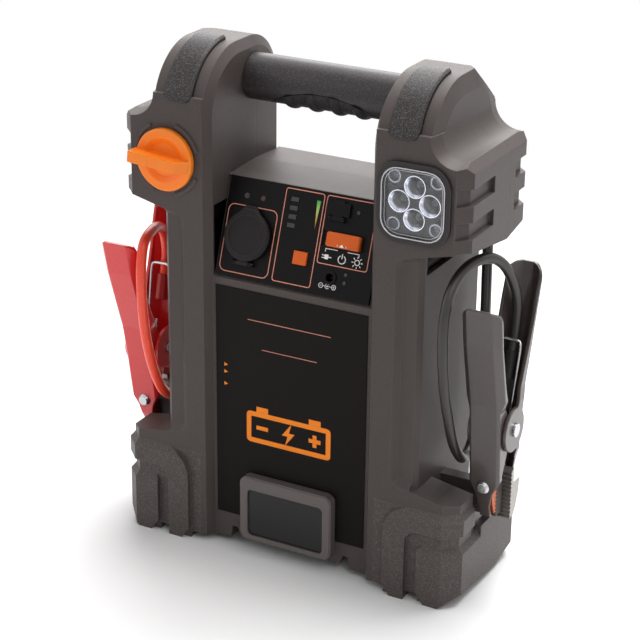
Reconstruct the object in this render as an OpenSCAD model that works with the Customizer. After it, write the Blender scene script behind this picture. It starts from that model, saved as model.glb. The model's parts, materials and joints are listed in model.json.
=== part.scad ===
// Portable jump starter: an upright two-shell case with a carrying handle,
// a tilted control panel, a rotary selector, a work lamp and two cable clamps
// parked in the side bays. Millimetres, +X to the right, -Y to the front, +Z up.

/* [Case] */
// Width over the shoulder pods
case_w = 250; // [240:1:270]
// Height of the towers, without their pads
case_h = 347; // [335:1:360]
// Depth from the front plate to the back
case_d = 97; // [92:1:110]
// Depth of the front shell, up to the parting line
seam_y = 63; // [58:1:66]
// Wall thickness of both shells
wall = 3; // [2.5:0.1:3.5]
// Clear height under the case between its feet
ground_gap = 5; // [3:0.5:7]

/* [Towers] */
// Gap between the two towers
tower_gap = 117; // [108:1:120]
// Width of one tower
tower_w = 42.5; // [40:0.5:46]
// Radius of the front of the dome
dome_r = 44; // [40:1:46]
// Radius of the back of the dome
back_dome_r = 36; // [30:1:50]
// Depth of the bevel along the inner front edge
inner_bevel = 6.5; // [5:0.5:8]
// Depth of the bevel along the outer front edge
outer_bevel = 12; // [9:0.5:14]
// Radius of the sweep from a tower to its shoulder pod
sweep_r = 15.5; // [12:0.5:18]

/* [Pods and bays] */
// Underside of a pod at its front edge
pod_z = 246; // [240:1:252]
// Top of a pod
pod_top_z = 303; // [298:1:308]
// Leg of the 45 degree corner facet
facet = 8.5; // [6:0.5:10]
// Width of the waist between the two bays
waist_w = 190; // [182:1:196]
// Height of the ledge at the foot of a bay
ledge_z = 80; // [76:1:84]
// Floor of a bay behind its ledge
floor_z = 43; // [40:1:47]
// Depth of the ledge
ledge_d = 28; // [25:1:32]
// How far the foot ribs stand proud
rib_proud = 3.5; // [2.5:0.5:4.5]

/* [Handle] */
// Diameter of the handle bar
bar_d = 31; // [28:0.5:34]
// Length of the finger insert in the underside of the bar
insert_len = 84; // [78:1:90]
// Drop of the bar's axis below the top of the towers
bar_drop = 26; // [23:1:31]
// Distance of the bar's axis from the front plate
bar_y = 60; // [56:1:63]
// Top of the sill below the hand opening
sill_z = 262; // [258:1:265]

/* [Pads] */
// How far a tower pad stands proud
pad_proud = 3; // [2:0.5:4]
// Width of a tower pad
pad_w = 20.5; // [17:0.5:22]
// Length of a tower pad, measured down from the top of its tower
pad_drop = 32; // [28:1:38]

/* [Control panel] */
// Tilt of the panel from upright
panel_tilt = 19.5; // [16:0.5:22]
// Length of the panel along its slope
panel_len = 66; // [64:0.5:68]
// Thickness of the panel moulding
panel_t = 2.5; // [2:0.1:3]
// Height of the panel's lower edge
panel_z = 199.5; // [198:0.5:201]
// Inside diameter of the accessory socket
socket_bore = 21; // [20.9:0.05:21.3]
// Depth of the accessory socket
socket_depth = 38; // [36:0.5:40]
// Diameter of the socket cap
cap_d = 33; // [32:0.5:34]
// Stroke of the test button
button_stroke = 1.2; // [0.8:0.1:1.5]
// Distance of the slide knob from its middle place to either end
slide_stroke = 3.5; // [2.5:0.5:4]

/* [Label and badge] */
// Margin of the label at each tower
label_margin = 2; // [1:0.5:5]
// Lower edge of the label
label_z = 24; // [20:1:28]
// Upper edge of the label
label_top_z = 192; // [188:1:193]
// Width of the badge frame
badge_w = 70; // [60:1:76]
// Height of the badge frame
badge_h = 48; // [42:1:52]

/* [Knob and lamp] */
// Distance of the knob and the lamp from the middle plane
pod_x = 89; // [87:0.5:90]
// Height of the knob and the lamp
pod_mid_z = 275; // [272:0.5:277]
// Diameter of the knob's disc
knob_d = 42; // [38:0.5:44]
// Width of the knob's grip bar
grip_w = 7.5; // [6:0.5:10]
// Height of the grip bar over the disc
grip_h = 9; // [7:0.5:11]
// Width of the lamp lens
lens_w = 44; // [41:0.5:46]
// Height of the lamp lens
lens_h = 46; // [43:0.5:48]
// Diameter of one reflector cup
cup_d = 13.5; // [12:0.5:14]
// Distance of each cup from the middle of the lamp
cup_step = 10.5; // [10:0.25:11]

/* [Battery] */
// Length of the sealed battery
cell_w = 151; // [140:1:153]
// Depth of the sealed battery
cell_d = 65; // [60:1:66]
// Height of the sealed battery
cell_h = 94; // [85:1:98]

/* [Cables and clamps] */
// Diameter of a clamp cable
cable_d = 7; // [6:0.5:8]
// Distance of a clamp's middle from the middle plane
clamp_x = 131; // [130.5:0.25:132]
// Width of a clamp arm
clamp_w = 27; // [26:0.5:28]
// Height of the clamp pivot
pivot_z = 116.5; // [115:0.5:118]
// Distance of the clamp pivot from the front plate
pivot_y = 46; // [45:0.5:47]
// Thickness of the parking post that the jaws hold
post_t = 9; // [8:0.5:10]
// Wall of a clamp arm with its vinyl
arm_t = 2.2; // [1.8:0.1:2.6]
// Diameter of the clamp's pivot pin
pin_d = 5; // [4:0.5:6]

/* [Hidden] */
$fn = 64;
eps = 0.01;
// Gap at a seat, and radial clearance of a pin that turns
fit = 0.3;
run = 0.05;
knob_base_t = 4;
knob_lift = 0.5;
knob_rest = 5;
dish_depth = 2.2;
knob_reach = knob_lift + knob_base_t + grip_h;
mid_y = (case_d - knob_reach) / 2;
bar_z = case_h - bar_drop;
pad_z = case_h - pad_drop;
half_w = case_w / 2;
plate_x = half_w - facet;
tower_in = tower_gap / 2;
tower_out = tower_in + tower_w;
plate_in = tower_in + 4;
plate_out = tower_out - 2.5;
plate_mid = (plate_in + plate_out) / 2;
dome_z = case_h - dome_r;
back_dome_z = case_h - back_dome_r;
back_dome_y = case_d - back_dome_r;
bevel_out = tower_out - plate_out;
sweep_x = tower_out + sweep_r;
sweep_z = pod_top_z + sweep_r;
pod_corner = 5.5;
waist_x = waist_w / 2;
flange_y = 4;
flange_r = 7;
flange_x = waist_x - 17.4;
flange_tip = 3.4;
under_slope = 0.236;
under_drop = 7;
ledge_slope = 0.18;
slot_d = 3;
slot_h = 11;
slot_end_y = 40;
rib_x = 75;
rib_w = 16;
rib_top_z = 67.5;
rib_low_z = 52;
// The raised arch ends this far short of the ledge's back, clear of a squeezed clamp
rib_clear = 3;
boss_x = 100;
boss_z = 43;
lip_y = 36;
lip_h = 3.5;
arch_x = 45;
arch_z = 14;
label_t = 0.6;
face_y = inner_bevel - label_t;
shell_face_y = face_y + label_t;
panel_top_y = face_y + panel_len * sin(panel_tilt);
panel_top_z = panel_z + panel_len * cos(panel_tilt);
panel_w = tower_gap - 4;
label_w = tower_gap - 2 * label_margin;
sill_rise = 1.5;
bar_r = bar_d / 2;
insert_t = 3;
insert_top = 2;
finger_step = 17;
spigot_r = 9;
spigot_len = 14;
core_y = shell_face_y + wall;
core_back = case_d - wall;
core_x = waist_x - wall - 0.5;
arch_floor = arch_z + wall;
arm_half = clamp_w / 2;
cable_r = cable_d / 2;
cell_y = 52;
cell_z = arch_floor + fit;
cell_top = cell_z + cell_h;
bracket_t = 2;
bracket_edge = 3.7;
boss_r = 5.5;
screw_r = 1.9;
screw_bite = 14;
screw_head_y = case_d - 22;
screw_x = cell_w / 2 + fit + bracket_t + 6.2;
screw_places = [[screw_x, 26], [screw_x, 128], [84, 226], [112, 268]];
board_y = 32;
board_z = 150;
board_w = 100;
board_h = 56;
cap_u = -36.5;
cap_s = 28.5;
cap_t = 2.2;
cap_lift = 1.6;
hinge_s = cap_s - cap_d / 2 - 1.4;
hinge_n = 2.4;
hinge_pin_r = 0.8;
usb_u = 25;
usb_s = 56.5;
usb_cover_w = 17;
usb_cover_h = 8.5;
usb_hinge_s = usb_s - usb_cover_h / 2 - 2.2;
usb_hinge_n = 1.5;
slide_u = 32.5;
slide_s = 37;
slide_w = 24;
slide_h = 9.5;
button_u = 3.5;
button_s = 21;
button_w = 9.5;
jack_u = 26.5;
jack_s = 12.5;
jack_bore_r = 2.75;
level_u = -7.4;
level_s = [40.7, 46.3, 52, 57.7];
lamp_dots = [[-43.2, 54.3], [-30.7, 54.3], [39, 56.5], [37.3, 16.2], [37.3, 10.8]];
lens_r = 12;
pillar_edge = 7.6;
bezel_w = 3.2;
barrel_r = 12.6;
button_h = 8.6;
panel_board_gap = 4.4;
panel_board_edge = 3.5;
board_t = 1.6;
slide_body_w = 18;
slide_body_h = 6.8;
slide_stem_w = 5;
slide_stem_h = 3;
tact_w = 6;
panel_board_n = -panel_t - 2.6 - button_stroke - fit - panel_board_gap - board_t;
badge_mid_z = 35;
gland_x = 107;
gland_y = 76;
gland_r = 7.5;
// How a clamp hangs on its post: its lean, and its shift in depth and in height
right_hang = [0, 0, 0];
left_hang = [5.5, -4, 4];
post_drop = 63.5;
rivet_z = -38;
// How far the bends of an arm's bevel lie below the bends of its face
bend_lag = 0.4;
lug_y = 15.6;
lug_z = 28;
lug_tilt = 18;
spring_r = 6.3;
spring_w = 14;
spring_turns = 5;
wire_r = 0.9;

// ---------- helpers ----------

// Everything is drawn with the front plate at y = 0 and then centred in depth
module centred() translate([0, -mid_y, 0]) children();

module both() {
  children();
  mirror([1, 0, 0]) children();
}

// A flat shape in x and z, drawn out along y
module slab_y(y0, y1) translate([0, y1, 0]) rotate([90, 0, 0]) linear_extrude(y1 - y0) children();

// A flat shape in y and z, drawn out along x
module slab_x(x0, x1) translate([x0, 0, 0]) rotate([90, 0, 90]) linear_extrude(x1 - x0) children();

// A flat shape in x and y, drawn out along z
module slab_z(z0, z1) translate([0, 0, z0]) linear_extrude(z1 - z0) children();

// A round bar, or a cone, along y
module rod_y(r, y0, y1, r2 = -1) {
  translate([0, y0, 0]) rotate([-90, 0, 0]) cylinder(r1 = r, r2 = r2 < 0 ? r : r2, h = y1 - y0);
}

// A round bar along x, about the middle
module rod_x(r, len) rotate([0, 90, 0]) cylinder(r = r, h = len, center = true);

module round_rect(w, h, r) {
  square([w - 2 * r, h], center = true);
  square([w, h - 2 * r], center = true);
  for (x = [-1, 1], y = [-1, 1]) translate([x * (w / 2 - r), y * (h / 2 - r)]) circle(r);
}

// x across, y up the slope and z out of the face of the control panel
module on_panel() translate([0, face_y, panel_z]) rotate([90 - panel_tilt, 0, 0]) children();

// ---------- case ----------

// Height of the pod's underside at a distance from the middle plane
function under_z(x) = pod_z - (plate_x - x) * under_slope;
// Height of the ledge's top
function ledge_top(x) = ledge_z - (x - flange_x - flange_r) * ledge_slope;

// Plan of a tower, bevelled along its four upright edges
module tower_plan() polygon([
  [tower_in, inner_bevel], [plate_in, 0], [plate_out, 0], [tower_out, outer_bevel],
  [tower_out, case_d - outer_bevel], [plate_out, case_d], [plate_in, case_d], [tower_in, case_d - inner_bevel]
]);

// The same bevels as a section of the arch that runs over a tower
module arch_section(r) polygon([
  [0, tower_in], [r - inner_bevel, tower_in], [r, plate_in],
  [r, plate_out], [r - outer_bevel, tower_out], [0, tower_out]
]);

// A quarter of the dome, and the flat top between its front and its back
module dome_front(r) rotate([0, -90, 180]) rotate_extrude(angle = 90) arch_section(r);

module dome_top() slab_y(dome_r, back_dome_y) polygon([
  [tower_in, dome_z], [tower_in, case_h - inner_bevel], [plate_in, case_h],
  [plate_out, case_h], [tower_out, case_h - outer_bevel], [tower_out, dome_z]
]);

module tower() {
  difference() {
    union() {
      slab_z(ground_gap, dome_z) tower_plan();
      intersection() {
        slab_z(ground_gap, back_dome_z) tower_plan();
        translate([0, dome_r, 0]) cube([half_w, case_d, case_h]);
      }
      translate([0, dome_r, dome_z]) dome_front(dome_r);
      translate([0, back_dome_y, back_dome_z]) mirror([0, 1, 0]) dome_front(back_dome_r);
      dome_top();
    }
    // Oblique facet on the outer back corner of the dome
    translate([plate_out + 0.3, back_dome_y + 0.2, case_h]) rotate([0, 50, 41]) translate([-60, -60, 0]) cube([120, 120, 60]);
  }
}

// Plan of one side of the case with its corner facets, grown outwards by g
module side_plan(g) {
  k = g * tan(22.5);
  polygon([
    [plate_in, -g], [plate_x + k, -g], [half_w + g, facet - k],
    [half_w + g, case_d - facet + k], [plate_x + k, case_d + g], [plate_in, case_d + g]
  ]);
}

// The concave sweep between a tower and its shoulder pod, bevelled at both faces
module sweep_air() {
  translate([sweep_x, 0, sweep_z]) {
    rod_y(sweep_r, 0, case_d);
    rod_y(sweep_r + bevel_out, 0, outer_bevel, sweep_r);
    rod_y(sweep_r, case_d - outer_bevel, case_d, sweep_r + bevel_out);
  }
}

module side_block() {
  difference() {
    intersection() {
      slab_z(ground_gap, sweep_z) side_plan(0);
      slab_y(0, case_d) polygon([
        [plate_in, ground_gap], [half_w, ground_gap], [half_w, pod_top_z - pod_corner],
        [half_w - pod_corner, pod_top_z], [sweep_x, pod_top_z], [sweep_x, sweep_z], [plate_in, sweep_z]
      ]);
    }
    sweep_air();
    slab_x(sweep_x, half_w + 1) polygon([
      [-1, pod_top_z - bevel_out - 0.2], [outer_bevel, pod_top_z], [-1, pod_top_z + 1]
    ]);
  }
}

// Rounded, bevelled step that lowers the flange beside a bay
module flange_air() {
  hull() for (c = [
    [flange_x + flange_r, under_z(flange_x + flange_r) - flange_r],
    [half_w + 20, under_z(half_w + 20) - flange_r],
    [flange_x + flange_r, ledge_top(flange_x + flange_r) + flange_r],
    [half_w + 20, ledge_top(half_w + 20) + flange_r]
  ]) translate([c[0], 0, c[1]]) rod_y(flange_r + 0.5, -0.5, flange_y, flange_r - flange_y, $fn = 32);
}

// The open bay in which a clamp and its cable hang
module bay_air() {
  intersection() {
    difference() {
      slab_z(floor_z, pod_z + 20) polygon([
        [waist_x - flange_tip, -1], [waist_x - flange_tip, flange_y], [waist_x, flange_y + flange_tip],
        [waist_x, case_d - flange_y - flange_tip], [waist_x - flange_tip, case_d - flange_y],
        [waist_x - flange_tip, case_d + 1], [half_w + 20, case_d + 1], [half_w + 20, -1]
      ]);
      slab_y(-2, ledge_d) polygon([
        [flange_x, 0], [half_w + 30, 0], [half_w + 30, ledge_top(half_w + 30)], [flange_x, ledge_top(flange_x)]
      ]);
    }
    slab_y(-2, case_d + 2) polygon([
      [flange_x, 0], [half_w + 30, 0], [half_w + 30, under_z(half_w + 30)], [flange_x, under_z(flange_x)]
    ]);
    slab_x(flange_x, half_w + 30) polygon([
      [-2, 0], [case_d + 2, 0], [case_d + 2, pod_z], [seam_y, pod_z - under_drop], [-2, pod_z + 2]
    ]);
  }
}

// Two grip slots that wrap round a pod's facet and side, at the front and at the back
module pod_slots() {
  for (z = [pod_z + 9.5, pod_z + 31]) {
    for (m = [0, 1]) translate([0, m * case_d, z]) mirror([0, m, 0]) {
      k = slot_d * tan(22.5);
      end_y = m == 0 ? slot_end_y : case_d - seam_y - 9;
      difference() {
        slab_z(0, slot_h) polygon([
          [plate_x + 1.2, -1], [half_w + 1, facet - 2], [half_w + 1, end_y],
          [half_w - slot_d, end_y], [half_w - slot_d, facet + k], [plate_x + 1.2 - slot_d * 0.4, slot_d * 0.6]
        ]);
      }
    }
  }
}

// Outline of the raised arch on a foot, seen from the front
module rib_outline() {
  difference() {
    union() {
      translate([rib_x, -1]) square([half_w, rib_top_z - 20 + 1]);
      translate([rib_x + 20, -1]) square([half_w, rib_top_z + 1]);
      translate([rib_x + 20, rib_top_z - 20]) circle(20);
    }
    translate([rib_x + rib_w, -2]) square([half_w, rib_low_z - 9 + 2]);
    translate([rib_x + rib_w + 9, -2]) square([half_w, rib_low_z + 2]);
    translate([rib_x + rib_w + 9, rib_low_z - 9]) circle(9);
  }
}

module boss_outline() {
  translate([boss_x, 0]) square([half_w, boss_z - 5]);
  translate([boss_x + 5, 0]) square([half_w, boss_z]);
  translate([boss_x + 5, boss_z - 5]) circle(5);
}

// A sloping top for the raised parts of a foot, round its front, facet and side
module roof(z, y1) {
  h = rib_proud * 1.3;
  slab_x(rib_x - 1, half_w) polygon([[-rib_proud - 1, z - h * 1.3], [0, z], [0, z + 9], [-rib_proud - 1, z + 9]]);
  translate([half_w, facet, 0]) rotate([0, 0, 90]) slab_x(-1, y1 - facet)
    polygon([[-rib_proud - 1, z - h * 1.3], [0, z], [0, z + 9], [-rib_proud - 1, z + 9]]);
  translate([plate_x, 0, 0]) rotate([0, 0, 45]) slab_x(-2, facet * sqrt(2) + 2)
    polygon([[-rib_proud - 1, z - h * 1.3], [0, z], [0, z + 9], [-rib_proud - 1, z + 9]]);
}

// The lower left corners of the raised parts and the bevel under the foot's outer edge
module foot_air() {
  for (x = [rib_x, boss_x]) slab_y(-rib_proud - 1, 0) polygon([[x - 1, -1], [x + 6, -1], [x + 6, 0], [x - 1, 9]]);
  translate([plate_x - 0.4, -rib_proud, 0.1]) rotate([0, 38.9, 173.8]) translate([-100, -100, -50]) cube([200, 200, 50]);
  translate([half_w + rib_proud, case_d - 5, 9]) rotate([0, 34.6, -165.5])
    translate([-100, -100, -50]) cube([200, 200, 50]);
}

module foot_relief() {
  difference() {
    intersection() {
      slab_z(0, rib_top_z) side_plan(rib_proud);
      slab_y(-rib_proud - 1, ledge_d - rib_clear) rib_outline();
    }
    roof(rib_top_z, ledge_d + 1);
  }
  difference() {
    intersection() {
      slab_z(0, boss_z) side_plan(rib_proud);
      slab_y(-rib_proud - 1, lip_y) boss_outline();
    }
    roof(boss_z, lip_y + 1);
  }
  intersection() {
    slab_z(0, floor_z + lip_h) side_plan(rib_proud);
    translate([half_w - 2, lip_y, 0]) cube([20, case_d, floor_z + lip_h]);
  }
  intersection() {
    slab_z(0, floor_z) side_plan(rib_proud);
    slab_y(lip_y, case_d - 8) boss_outline();
  }
}

module centre_block() {
  seat = [panel_t * cos(panel_tilt), -panel_t * sin(panel_tilt)];
  slab_x(-tower_in - 1, tower_in + 1) polygon([
    [shell_face_y, ground_gap], [shell_face_y, panel_z - panel_t],
    [face_y + seat[0], panel_z + seat[1]], [panel_top_y + seat[0], panel_top_z + seat[1]],
    [panel_top_y + fit, panel_top_z], [seam_y, sill_z + sill_rise], [case_d - 1, sill_z],
    [case_d - 1, ground_gap]
  ]);
}

module case_outer() difference() {
  union() {
    difference() {
      union() {
        both() {
          tower();
          side_block();
        }
        centre_block();
      }
      both() {
        flange_air();
        translate([0, case_d, 0]) mirror([0, 1, 0]) flange_air();
        bay_air();
        pod_slots();
      }
      slab_y(-1, case_d + 1) polygon([
        [-arch_x - 2, 0], [-arch_x, arch_z], [4 - arch_x, arch_z], [7 - arch_x, ground_gap + 2],
        [arch_x - 7, ground_gap + 2], [arch_x - 4, arch_z], [arch_x, arch_z], [arch_x + 2, 0]
      ]);
    }
    both() foot_relief();
  }
  both() foot_air();
}

// The hollow inside the case
module case_core() {
  top_seat = panel_t / cos(panel_tilt) + wall + 1;
  slab_x(-tower_in, tower_in) polygon([
    [core_y, arch_floor], [core_y, panel_z - wall - panel_t], [panel_top_y + top_seat + wall, panel_top_z - wall - 4],
    [seam_y, sill_z - wall], [core_back - 1, sill_z - wall], [core_back - 1, arch_floor]
  ]);
  both() {
    translate([tower_in - eps, flange_y + wall + 1, ground_gap + wall])
      cube([core_x - tower_in, case_d - 2 * (flange_y + wall + 1), pod_z - ground_gap - wall]);
    translate([tower_in + wall, wall + inner_bevel, pod_z - 20])
      cube([tower_w - 2 * wall, case_d - 2 * (wall + inner_bevel), back_dome_z - pod_z + 20]);
    translate([pod_x - 27, wall, pod_mid_z - 27]) cube([45, 30, 54]);
    intersection() {
      translate([tower_in + wall, wall, back_dome_z - 1]) cube([tower_w - 2 * wall, case_d - 2 * wall, 99]);
      union() {
        translate([0, back_dome_y, back_dome_z]) rod_x(back_dome_r - outer_bevel, case_w);
        translate([0, dome_r, dome_z]) rod_x(dome_r - outer_bevel, case_w);
        translate([0, dome_r, dome_z]) cube([half_w, back_dome_y - dome_r, dome_r - outer_bevel]);
      }
    }
    translate([waist_x, facet + wall, pod_z + wall]) 
      cube([half_w - waist_x - slot_d - wall, case_d - 2 * (facet + wall), pod_top_z - pod_z - 2 * wall]);
    translate([waist_x - wall, facet + wall, ground_gap + wall])
      cube([half_w - waist_x, case_d - 2 * (facet + wall), floor_z - ground_gap - 2 * wall]);
  }
}

// ---------- shells ----------

module knob_hole() translate([-pod_x, 0, pod_mid_z]) rod_y(3.6, -1, wall + 2);

module lamp_outline(grow) translate([pod_x, pod_mid_z])
  round_rect(lens_w + 2 * grow, lens_h + 2 * grow, lens_r + grow);

module pad_outline(grow) {
  w = pad_w + 2 * grow;
  translate([plate_mid - w / 2, pad_z + 6 - grow]) square([w, 90]);
  translate([plate_mid, pad_z + 8 - grow]) round_rect(w, 16, 5 + grow);
}

// Shallow pocket in which a pad is seated
module pad_pocket() {
  intersection() {
    slab_y(-9, dome_r + fit) pad_outline(fit);
    translate([0, dome_r, dome_z]) difference() {
      rod_x(dome_r + 9, case_w);
      rod_x(dome_r - 1, case_w + 2);
    }
  }
}

module panel_window() {
  on_panel() translate([-panel_w / 2 + 4.5, 4, -panel_t - 25]) cube([panel_w - 9, panel_len - 8, 25]);
}

module bar_socket() {
  translate([0, bar_y, bar_z]) rod_x(spigot_r + run, 2 * (tower_in + spigot_len + 2));
}

module front_boss(p) difference() {
  translate([p[0], 0, p[1]]) rod_y(boss_r, 7, seam_y);
  translate([p[0], 0, p[1]]) rod_y(screw_r + run, seam_y - screw_bite - 4, seam_y + 1);
}

// The bosses that stand on the inside of the front wall and carry the main board
module board_posts() {
  for (x = [-1, 1], z = [-1, 1])
    translate([x * (board_w / 2 - 5), 0, board_z + z * (board_h / 2 - 5)]) rod_y(3, core_y - 1, board_y);
}

// The post that a parked clamp's jaws close on
module parking_post() translate([waist_x - 1 - clamp_x, -post_t / 2, -post_drop]) cube([clamp_x + 6 - waist_x, post_t, 22]);

module front_shell() color("dimgray") centred() {
  difference() {
    union() {
      difference() {
        intersection() {
          case_outer();
          translate([-case_w, -50, -1]) cube([2 * case_w, 50 + seam_y, 2 * case_h]);
        }
        case_core();
      }
      both() for (p = screw_places) front_boss(p);
      hung() parking_post();
      mirror([1, 0, 0]) hung(left_hang) parking_post();
      board_posts();
      // Four raised arcs round the knob
      for (a = [[19, 72], [118, 166], [208, 246], [286, 335]]) translate([-pod_x, eps, pod_mid_z])
        rotate([90, 0, 0]) rotate([0, 0, a[0]]) rotate_extrude(angle = a[1] - a[0])
          translate([knob_d / 2 + 2, 0]) square([2.4, 1.2]);
    }
    knob_hole();
    slab_y(-1, 19) lamp_outline(bezel_w / 2 + fit);
    both() pad_pocket();
    bar_socket();
    panel_window();
  }
}

module rear_boss(p) translate([p[0], 0, p[1]]) rod_y(boss_r, seam_y, case_d - 6);

module screw_way(p) translate([p[0], 0, p[1]]) {
  rod_y(screw_r + run, seam_y - 1, case_d);
  rod_y(3.8, screw_head_y, case_d + 2);
}

module gland_hole() translate([gland_x, gland_y, pod_z - 16]) {
  cylinder(r = gland_r + fit, h = 13.5);
  cylinder(r = gland_r - 2, h = 30);
}

module rear_shell() color("dimgray") centred() {
  difference() {
    union() {
      difference() {
        intersection() {
          case_outer();
          translate([-case_w, seam_y, -1]) cube([2 * case_w, case_d, 2 * case_h]);
        }
        case_core();
      }
      both() for (p = screw_places) rear_boss(p);
    }
    both() {
      for (p = screw_places) screw_way(p);
      gland_hole();
    }
    bar_socket();
  }
}

module case_screws() color("silver") centred() both() for (p = screw_places) translate([p[0], 0, p[1]]) difference() {
  union() {
    rod_y(screw_r, seam_y - screw_bite, screw_head_y + 0.1);
    rod_y(3.5, screw_head_y + eps, screw_head_y + 2.4);
  }
  translate([-3, screw_head_y + 1.2, -0.5]) cube([6, 2, 1]);
  translate([-0.5, screw_head_y + 1.2, -3]) cube([1, 2, 6]);
}

// ---------- handle ----------

module handle_bar() color("#3a3634") centred() translate([0, bar_y, bar_z]) {
  difference() {
    union() {
      rod_x(bar_r, tower_gap - 2 * fit);
      rod_x(spigot_r, tower_gap + 2 * spigot_len);
    }
    grip_seat(fit);
  }
}

// Everything under the arched upper edge of the finger insert
module under_arch(gap) {
  rise = bar_r - insert_top - 1.5;
  arch_r = (pow(insert_len / 2, 2) + rise * rise) / (2 * rise);
  translate([0, 0, -insert_top - arch_r]) rod_y(arch_r + gap, -bar_r - 10, bar_r + 10);
}

// Hollow in the underside of the bar for the finger insert
module grip_seat(gap) intersection() {
  difference() {
    rod_x(bar_r + 9, insert_len + 2 * gap);
    rod_x(bar_r - insert_t - gap / 2, insert_len + 6);
  }
  under_arch(gap);
}

module handle_grip() color("#2e2b2a") centred() translate([0, bar_y, bar_z]) intersection() {
  difference() {
    union() {
      rod_x(bar_r, insert_len);
      for (k = [-1.5:1.5]) translate([k * finger_step, 0, 0]) rotate([0, 90, 0]) rotate_extrude()
        translate([bar_r - 4.2, 0]) circle(6, $fn = 32);
    }
    rod_x(bar_r - insert_t, insert_len + 6);
  }
  under_arch(0);
}

// ---------- tower pads ----------

module pad() {
  intersection() {
    slab_y(-9, dome_r) pad_outline(0);
    translate([0, dome_r, dome_z]) rotate([0, -90, 180]) rotate_extrude(angle = 90) translate([0, plate_mid])
      polygon([
        [dome_r - 1 + fit, -pad_w / 2], [dome_r + pad_proud - 1.4, -pad_w / 2], [dome_r + pad_proud, 1.4 - pad_w / 2],
        [dome_r + pad_proud, pad_w / 2 - 1.4], [dome_r + pad_proud - 1.4, pad_w / 2], [dome_r - 1 + fit, pad_w / 2]
      ]);
  }
}

module right_pad() color("#4a4644") centred() pad();

module left_pad() color("#4a4644") centred() mirror([1, 0, 0]) pad();

// ---------- control panel ----------

module panel_hole(u, s, w, h) translate([u - w / 2, s - h / 2, -panel_t - 1]) cube([w, h, panel_t + 2]);

module panel_round(u, s, r) translate([u, s, -panel_t - 1]) cylinder(r = r, h = panel_t + 2);

// A pair of lugs that hold a hinge pin, at each side of a knuckle
module hinge_lugs(u, s, n, half, lug_w) {
  for (m = [-1, 1]) translate([u + m * (half + lug_w / 2), s, 0]) difference() {
    union() {
      translate([0, 0, n]) rod_x(1.6, lug_w);
      translate([-lug_w / 2, -1.6, -eps]) cube([lug_w, 3.2, n]);
    }
    translate([0, 0, n]) rod_x(hinge_pin_r + run, lug_w + 1);
  }
}

module control_panel() color("#1c1a1a") centred() on_panel() {
  difference() {
    translate([-panel_w / 2, 0, -panel_t]) cube([panel_w, panel_len, panel_t]);
    panel_round(cap_u, cap_s, barrel_r + fit);
    panel_hole(usb_u, usb_s, usb_cover_w - 3.4, usb_cover_h - 2.4);
    panel_hole(slide_u, slide_s, 5.4 + 2 * slide_stroke, 3.6);
    translate([slide_u - slide_w / 2 - slide_stroke - fit, slide_s - slide_h / 2 - fit, -1])
      cube([slide_w + 2 * (slide_stroke + fit), slide_h + 2 * fit, 2]);
    panel_hole(button_u, button_s, button_w + 2 * fit, button_h + 2 * fit);
    panel_round(jack_u, jack_s, 3.8 + fit);
    for (p = lamp_dots) panel_round(p[0], p[1], 1.3 + fit);
    for (s = level_s) panel_hole(level_u, s, 5.6 + 2 * fit, 3 + 2 * fit);
  }
  // Pillars that carry the small board behind the panel
  for (p = [[-9.5, 21], [44.5, 46.3]]) translate([p[0], p[1], panel_board_n + 1.6])
    cylinder(r = 2, h = -panel_board_n - 1.6 - panel_t + eps);
  hinge_lugs(cap_u, hinge_s, hinge_n, 4.2, 3);
  hinge_lugs(usb_u, usb_hinge_s, usb_hinge_n + 0.4, 3.6, 2);
}

module front_label() color("#231f1f") centred() difference() {
  translate([-label_w / 2, face_y, label_z]) cube([label_w, label_t, label_top_z - label_z]);
  slab_y(0, 20) translate([0, badge_mid_z]) round_rect(badge_w + 2 * fit, badge_h + 2 * fit, 6 + fit);
}

module badge_frame() color("#5f5b59") centred() difference() {
  union() {
    slab_y(-0.2, shell_face_y) translate([0, badge_mid_z]) round_rect(badge_w, badge_h, 6);
    slab_y(-1, 0) translate([0, badge_mid_z]) round_rect(badge_w - 1.6, badge_h - 1.6, 5.2);
  }
  slab_y(-2, 3) translate([0, badge_mid_z - 2.5]) round_rect(badge_w - 12, badge_h - 13, 3.5);
}

module badge_plate() color("#141212") centred()
  slab_y(0.5, 3) translate([0, badge_mid_z - 2.5]) round_rect(badge_w - 12 - 2 * fit, badge_h - 13 - 2 * fit, 3.2);

// ---------- accessory socket ----------

module socket_barrel() color("#2a2827") centred() on_panel() translate([cap_u, cap_s, 0]) difference() {
  union() {
    cylinder(r = 15, h = 1.2);
    translate([0, 0, -socket_depth - 3]) cylinder(r = barrel_r, h = socket_depth + 3.1);
  }
  translate([0, 0, -socket_depth]) cylinder(r = socket_bore / 2, h = socket_depth + 5);
  translate([0, 0, -socket_depth - 0.8]) cylinder(r = 5 + run, h = 1.8);
  translate([0, 0, -socket_depth - 5]) cylinder(r = 3, h = 9);
}

module socket_contact() color("#b5913f") centred() on_panel() translate([cap_u, cap_s, -socket_depth - 0.8]) {
  cylinder(r = 5, h = 0.75);
  translate([0, 0, -7]) cylinder(r = 3 - run, h = 7.1);
}

// Outline of the cap, with the pointed finger tip at its top
module cap_outline(inset) {
  r = cap_d / 2 - inset;
  circle(r);
  polygon([
    [-r * sin(62), r * cos(62)], [-5.5, r + 0.8], [-3.6, r + 3.2 - inset], [3.6, r + 3.2 - inset],
    [5.5, r + 0.8], [r * sin(62), r * cos(62)]
  ]);
}

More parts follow.
